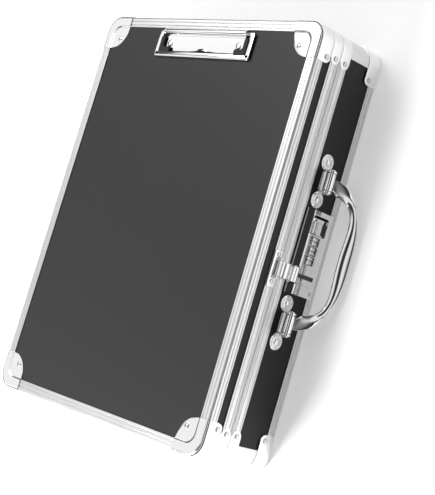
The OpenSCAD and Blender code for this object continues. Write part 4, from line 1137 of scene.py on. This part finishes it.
# %% Hasp
HASP_SHEET, KNUCKLE_R = 0.8, 1.5
HASP_Y, HASP_X, HASP_Z = -19.0, HALF_W + HASP_SHEET + 0.2 + KNUCKLE_R, PARTING + 4.3
FLAP_W, FLAP_LOW = 12.0, 32.3
plate_line = rounded(block(-15.5, 13.5, LID_Z + 0.4, LID_Z + RIM_H - 0.2), 1.6)
shells = [slab(plate_line, 0, HASP_SHEET, 0.05, 0.3, facing_x(HALF_W, HASP_Y, 0))]
lug = np.concatenate([[[0.2, -1.3]], arc((HASP_X - HALF_W, 0), KNUCKLE_R, -90, 90, 12),
                      [[0.2, 1.3]]])
for e in (-1, 1):
    shells.append(slab(lug, -1.1, 1.1, 0.25, 0.25,
                       facing_y(HALF_W, HASP_Y + e * (FLAP_W / 2 + 1.4), HASP_Z)))
make_piece("hasp_plate_pressed", shells, CHROME, "lid", "hasp_plate")


def flap_side():
    """Line of the flap seen from its side, as a column of x and a column of z. It hangs down
    from the knuckle, with two pressed grooves, a bulge and a lower end that curls out."""
    t = np.linspace(0, 1, 90)
    z = HASP_Z - t * (HASP_Z - FLAP_LOW)
    x = 0.7 + 0.45 * np.sin(np.pi * np.clip(t * 1.15, 0, 1)) + 1.2 * blend(t, 0.8, 1.0)
    for down, depth in ((3.0, 0.8), (6.4, 0.8)):
        x -= depth * np.exp(-((HASP_Z - z - down) / 0.55) ** 2)
    x += 0.6 * np.exp(-((HASP_Z - z - 9.5) / 1.6) ** 2)
    return HASP_X + x[:, None], z[:, None]


side_x, side_z = flap_side()
run = np.linspace(-1, 1, 14)
crown = 0.25 * (1 - np.abs(run) ** 6)
flap_grid = coords(side_x + crown - 0.25, HASP_Y + run * FLAP_W / 2, side_z)
staple = rounded(block(-4, 4, FLAP_LOW + 0.4, FLAP_LOW + 3), 0.6)
shells = [plate(flap_grid, 0.9, (0, HASP_Y, HASP_Z)),
          turned(eye_profile(KNUCKLE_R, FLAP_W / 2, 0.3), (HASP_X, HASP_Y, HASP_Z), (0, 1, 0), 28),
          slab(staple, HALF_W + 0.4, HASP_X + 0.4, 0.3, 0.05, facing_x(0, HASP_Y, 0))]
make_piece("hasp_flap_pressed", shells, CHROME, "hasp_flap", "hasp_flap")
rivet_set("hasp_rivet_domes", "hasp_rivets", "lid",
          [((HALF_W + HASP_SHEET, HASP_Y + d, LID_Z + 5.2), (1, 0, 0)) for d in (10.5, -11)],
          2.0, 0.8)
for leaf, body in (("hinge_leaf_base", "base"), ("hinge_leaf_lid", "lid")):
    soften(leaf, 0.2, STEEL, body, 40.0)

# %% [markdown]
# ## Paper clip
# The clip is bent from bright sheet. Its base plate is riveted to the panel, has a lip that
# waves up in the middle of its front edge, and rolls round the pin at the back. The jaw is a
# flat strip bent into three sides, with a rolled bar along the front, and two rubber corners
# grip the paper. The plate is a grid across the clip and along a path: lip, flat, then roll.

# %% Clip
CLIP_X, CLIP_Y, CLIP_Z = 2.3, HALF_L - 13.5, PANEL_TOP + 2.9
JAW_W, JAW_BAR_Y = 121.0, CLIP_Y - 21.5
BAR_R, ROLL_R = 1.45, 2.8


def clip_plate_grid(half=49.5, across=90):
    """Base plate: x across the clip. Along it, the front lip dips, the flat part is crowned by
    0.2 mm, and the back climbs to the roll. In the middle the lip waves forward and up by a
    cosine bump."""
    x = np.linspace(-1, 1, across)
    corner = 1.6 * np.clip((np.abs(x) - 0.955) / 0.045, 0, 1) ** 2
    wave = np.where(np.abs(x) < 0.42, 0.5 + 0.5 * np.cos(np.pi * x / 0.42), 0)
    ripple = 0.9 * wave * np.cos(2.2 * np.pi * x / 0.42)
    v = np.linspace(0, 1, 30)[:, None]
    front = CLIP_Y - 17 + corner + 1.0 * wave
    y = front[None] * (1 - v) + (CLIP_Y - 2.2) * v
    lip = np.exp(-(v / 0.09) ** 2)
    z = PANEL_TOP + 1.0 + 0.2 * np.sin(np.pi * v) - 0.3 * lip * (1 - wave[None])
    z = z + lip * (0.45 * wave + 0.5 * ripple)[None] + 1.3 * blend(v, 0.86, 1.0) ** 2
    return coords(CLIP_X + half * x[None], y, z)


def bent_bar():
    """Rolled bar of the jaw: a rod whose ends close in a ball."""
    t = np.linspace(0, np.pi / 2, 7)
    cap_end = BAR_R * coords(np.sin(t), -np.cos(t))
    half = JAW_W / 2 - BAR_R
    profile = np.concatenate([cap_end + [0, -half], (cap_end * [1, -1] + [0, half])[::-1]])
    return turned(profile, (CLIP_X, JAW_BAR_Y, PANEL_TOP + 1.7), (1, 0, 0), 24)


def on_side(line, side):
    """Outline as it is, or mirrored across the clip and turned round to stay anticlockwise."""
    return line if side > 0 else (line * [-1, 1])[::-1]


def strip_outline(side):
    """One arm of the jaw from above: a strip from the bar to the pin with a foot that turns
    inwards to its lug."""
    x1, x0, lug = JAW_W / 2, JAW_W / 2 - 5, JAW_W / 2 - 9.7
    corners = [(x0 - 0.2, JAW_BAR_Y), (x1, JAW_BAR_Y), (x1, CLIP_Y + 1), (lug, CLIP_Y + 1),
               (lug, CLIP_Y - 1.6), (x0, CLIP_Y - 1.6)]
    return on_side(rounded(corners, (0.6, 0.6, 2.4, 0.4, 0.4, 1.2)), side)


def flat_on(z):
    """Places a flat outline on the lid: (across, along) and height above z."""
    return lambda p, up: coords(CLIP_X + p[..., 0], p[..., 1], z + up)


roll = turned(eye_profile(ROLL_R, JAW_W / 2 - 10, 0.5), (CLIP_X, CLIP_Y, CLIP_Z), (1, 0, 0), 40)
make_piece("clip_plate_bent", [plate(clip_plate_grid(), 0.9, (CLIP_X, CLIP_Y, -1000)), roll],
           CLIP_CHROME, "lid", "clip_base")
half_lip = JAW_W / 2 - 0.6
lip_line = rounded(block(-half_lip, half_lip, JAW_BAR_Y, JAW_BAR_Y + 3.2), 0.4)
shells = [bent_bar(), slab(lip_line, 0, 1.0, 0.2, 0.35, flat_on(PANEL_TOP + 1.6))]
for s in (-1, 1):
    shells.append(slab(strip_outline(s), 0, 1.0, 0.2, 0.4, flat_on(PANEL_TOP + 1.6)))
    lug_x = CLIP_X + s * (JAW_W / 2 - 9.7 + 0.8)
    shells.append(turned(eye_profile(ROLL_R, 0.8, 0.3), (lug_x, CLIP_Y, CLIP_Z), (1, 0, 0), 28))
make_piece("clip_jaw_bent", shells, CLIP_CHROME, "clip_jaw", "clip_jaw")
x1, y0 = JAW_W / 2 - 4.6, JAW_BAR_Y + 2.4
pad = rounded([(x1 - 14.4, y0), (x1, y0), (x1, y0 + 14.8), (x1 - 4.9, y0 + 14.8),
               (x1 - 4.9, y0 + 5.3), (x1 - 14.4, y0 + 5.3)], (1.2, 1.8, 1.2, 1.2, 2.2, 1.2))
grips = [slab(on_side(pad, s), 0, 2.3, 0.4, 0.8, flat_on(PANEL_TOP + 1.2)) for s in (-1, 1)]
make_piece("clip_grips_moulded", grips, RUBBER, "clip_jaw", "clip_grips", 50)
rivet_set("clip_rivet_domes", "clip_rivets", "lid",
          [((CLIP_X + s * 44, CLIP_Y - 10.5, PANEL_TOP + 1.0), (0, 0, 1)) for s in (-1, 1)],
          3.6, 1.6, CLIP_CHROME)

# %% [markdown]
# ## Linings
# Thin cloth covers the inside of both halves. On the real case it is glued over the boards and
# bends in a soft cove where the floor meets the walls. Each lining is one closed skin: it starts
# near the middle of the floor, spreads to the cove, climbs the wall to the rim, and comes back
# the same way on the side that is glued down.

# %% Linings
def tray_outline(half_x, half_y, corner, steps=6):
    """Rounded rectangle with circular corners, with the same number of points at any size."""
    turn = np.linspace(0, np.pi / 2, steps + 1)
    part = [half_x - corner, half_y - corner] + corner * coords(np.cos(turn), np.sin(turn))
    return np.concatenate([part, part[::-1] * [-1, 1], part * [-1, -1], part[::-1] * [1, -1]])


def lining_skin(half_x, half_y, floor, rim, sheet=0.8, corner=6.0, cove=4.0):
    """Closed skin of one lining. Inner rows: the outline shrunk to 2, 35 and 70 per cent of the
    floor, a quarter-circle cove, and the wall up to the rim. The outer rows are the same,
    sheet further out and further down, in reverse. rim may lie above or below floor."""
    toward = np.sign(rim - floor)
    base = tray_outline(half_x - cove, half_y - cove, max(corner - cove, 0.5) + 0.5)

    def side(out):
        rows = [(base * share, -out) for share in (0.02, 0.35, 0.7)]
        for t in np.linspace(0, np.pi / 2, 7):
            inset = cove * (1 - math.sin(t)) - out * math.sin(t)
            rows.append((tray_outline(half_x - inset, half_y - inset, max(corner - inset, 1.0)),
                         cove * (1 - math.cos(t)) - out * math.cos(t)))
        return rows + [(tray_outline(half_x + out, half_y + out, corner + out), level)
                       for level in np.linspace(cove, abs(rim - floor), 4)[1:]]

    return loft(np.stack([coords(flat[:, 0], flat[:, 1], floor + toward * up)
                          for flat, up in side(0.0) + side(sheet)[::-1]]))


for node, body in (("base_lining", "base"), ("lid_lining", "lid")):
    low, high = box_mm(node)
    up = body == "base"
    skin = lining_skin(high[0] - 0.9, high[1] - 0.9, low[2] + 0.9 if up else high[2] - 0.9,
                       high[2] if up else low[2])
    make_piece(node + "_cloth", [skin], LINING, body, node, 60)
print("lining skin:", len(skin[0]), "points")

# %% [markdown]
# ## The rest of the model
# Boards, posts, pins and springs keep their CAD shapes and only get a finish, chosen by name.

# %% Materials on the CAD nodes
for name, obj in nodes.items():
    obj.data.materials.clear()
    obj.data.materials.append(finish_for(name))
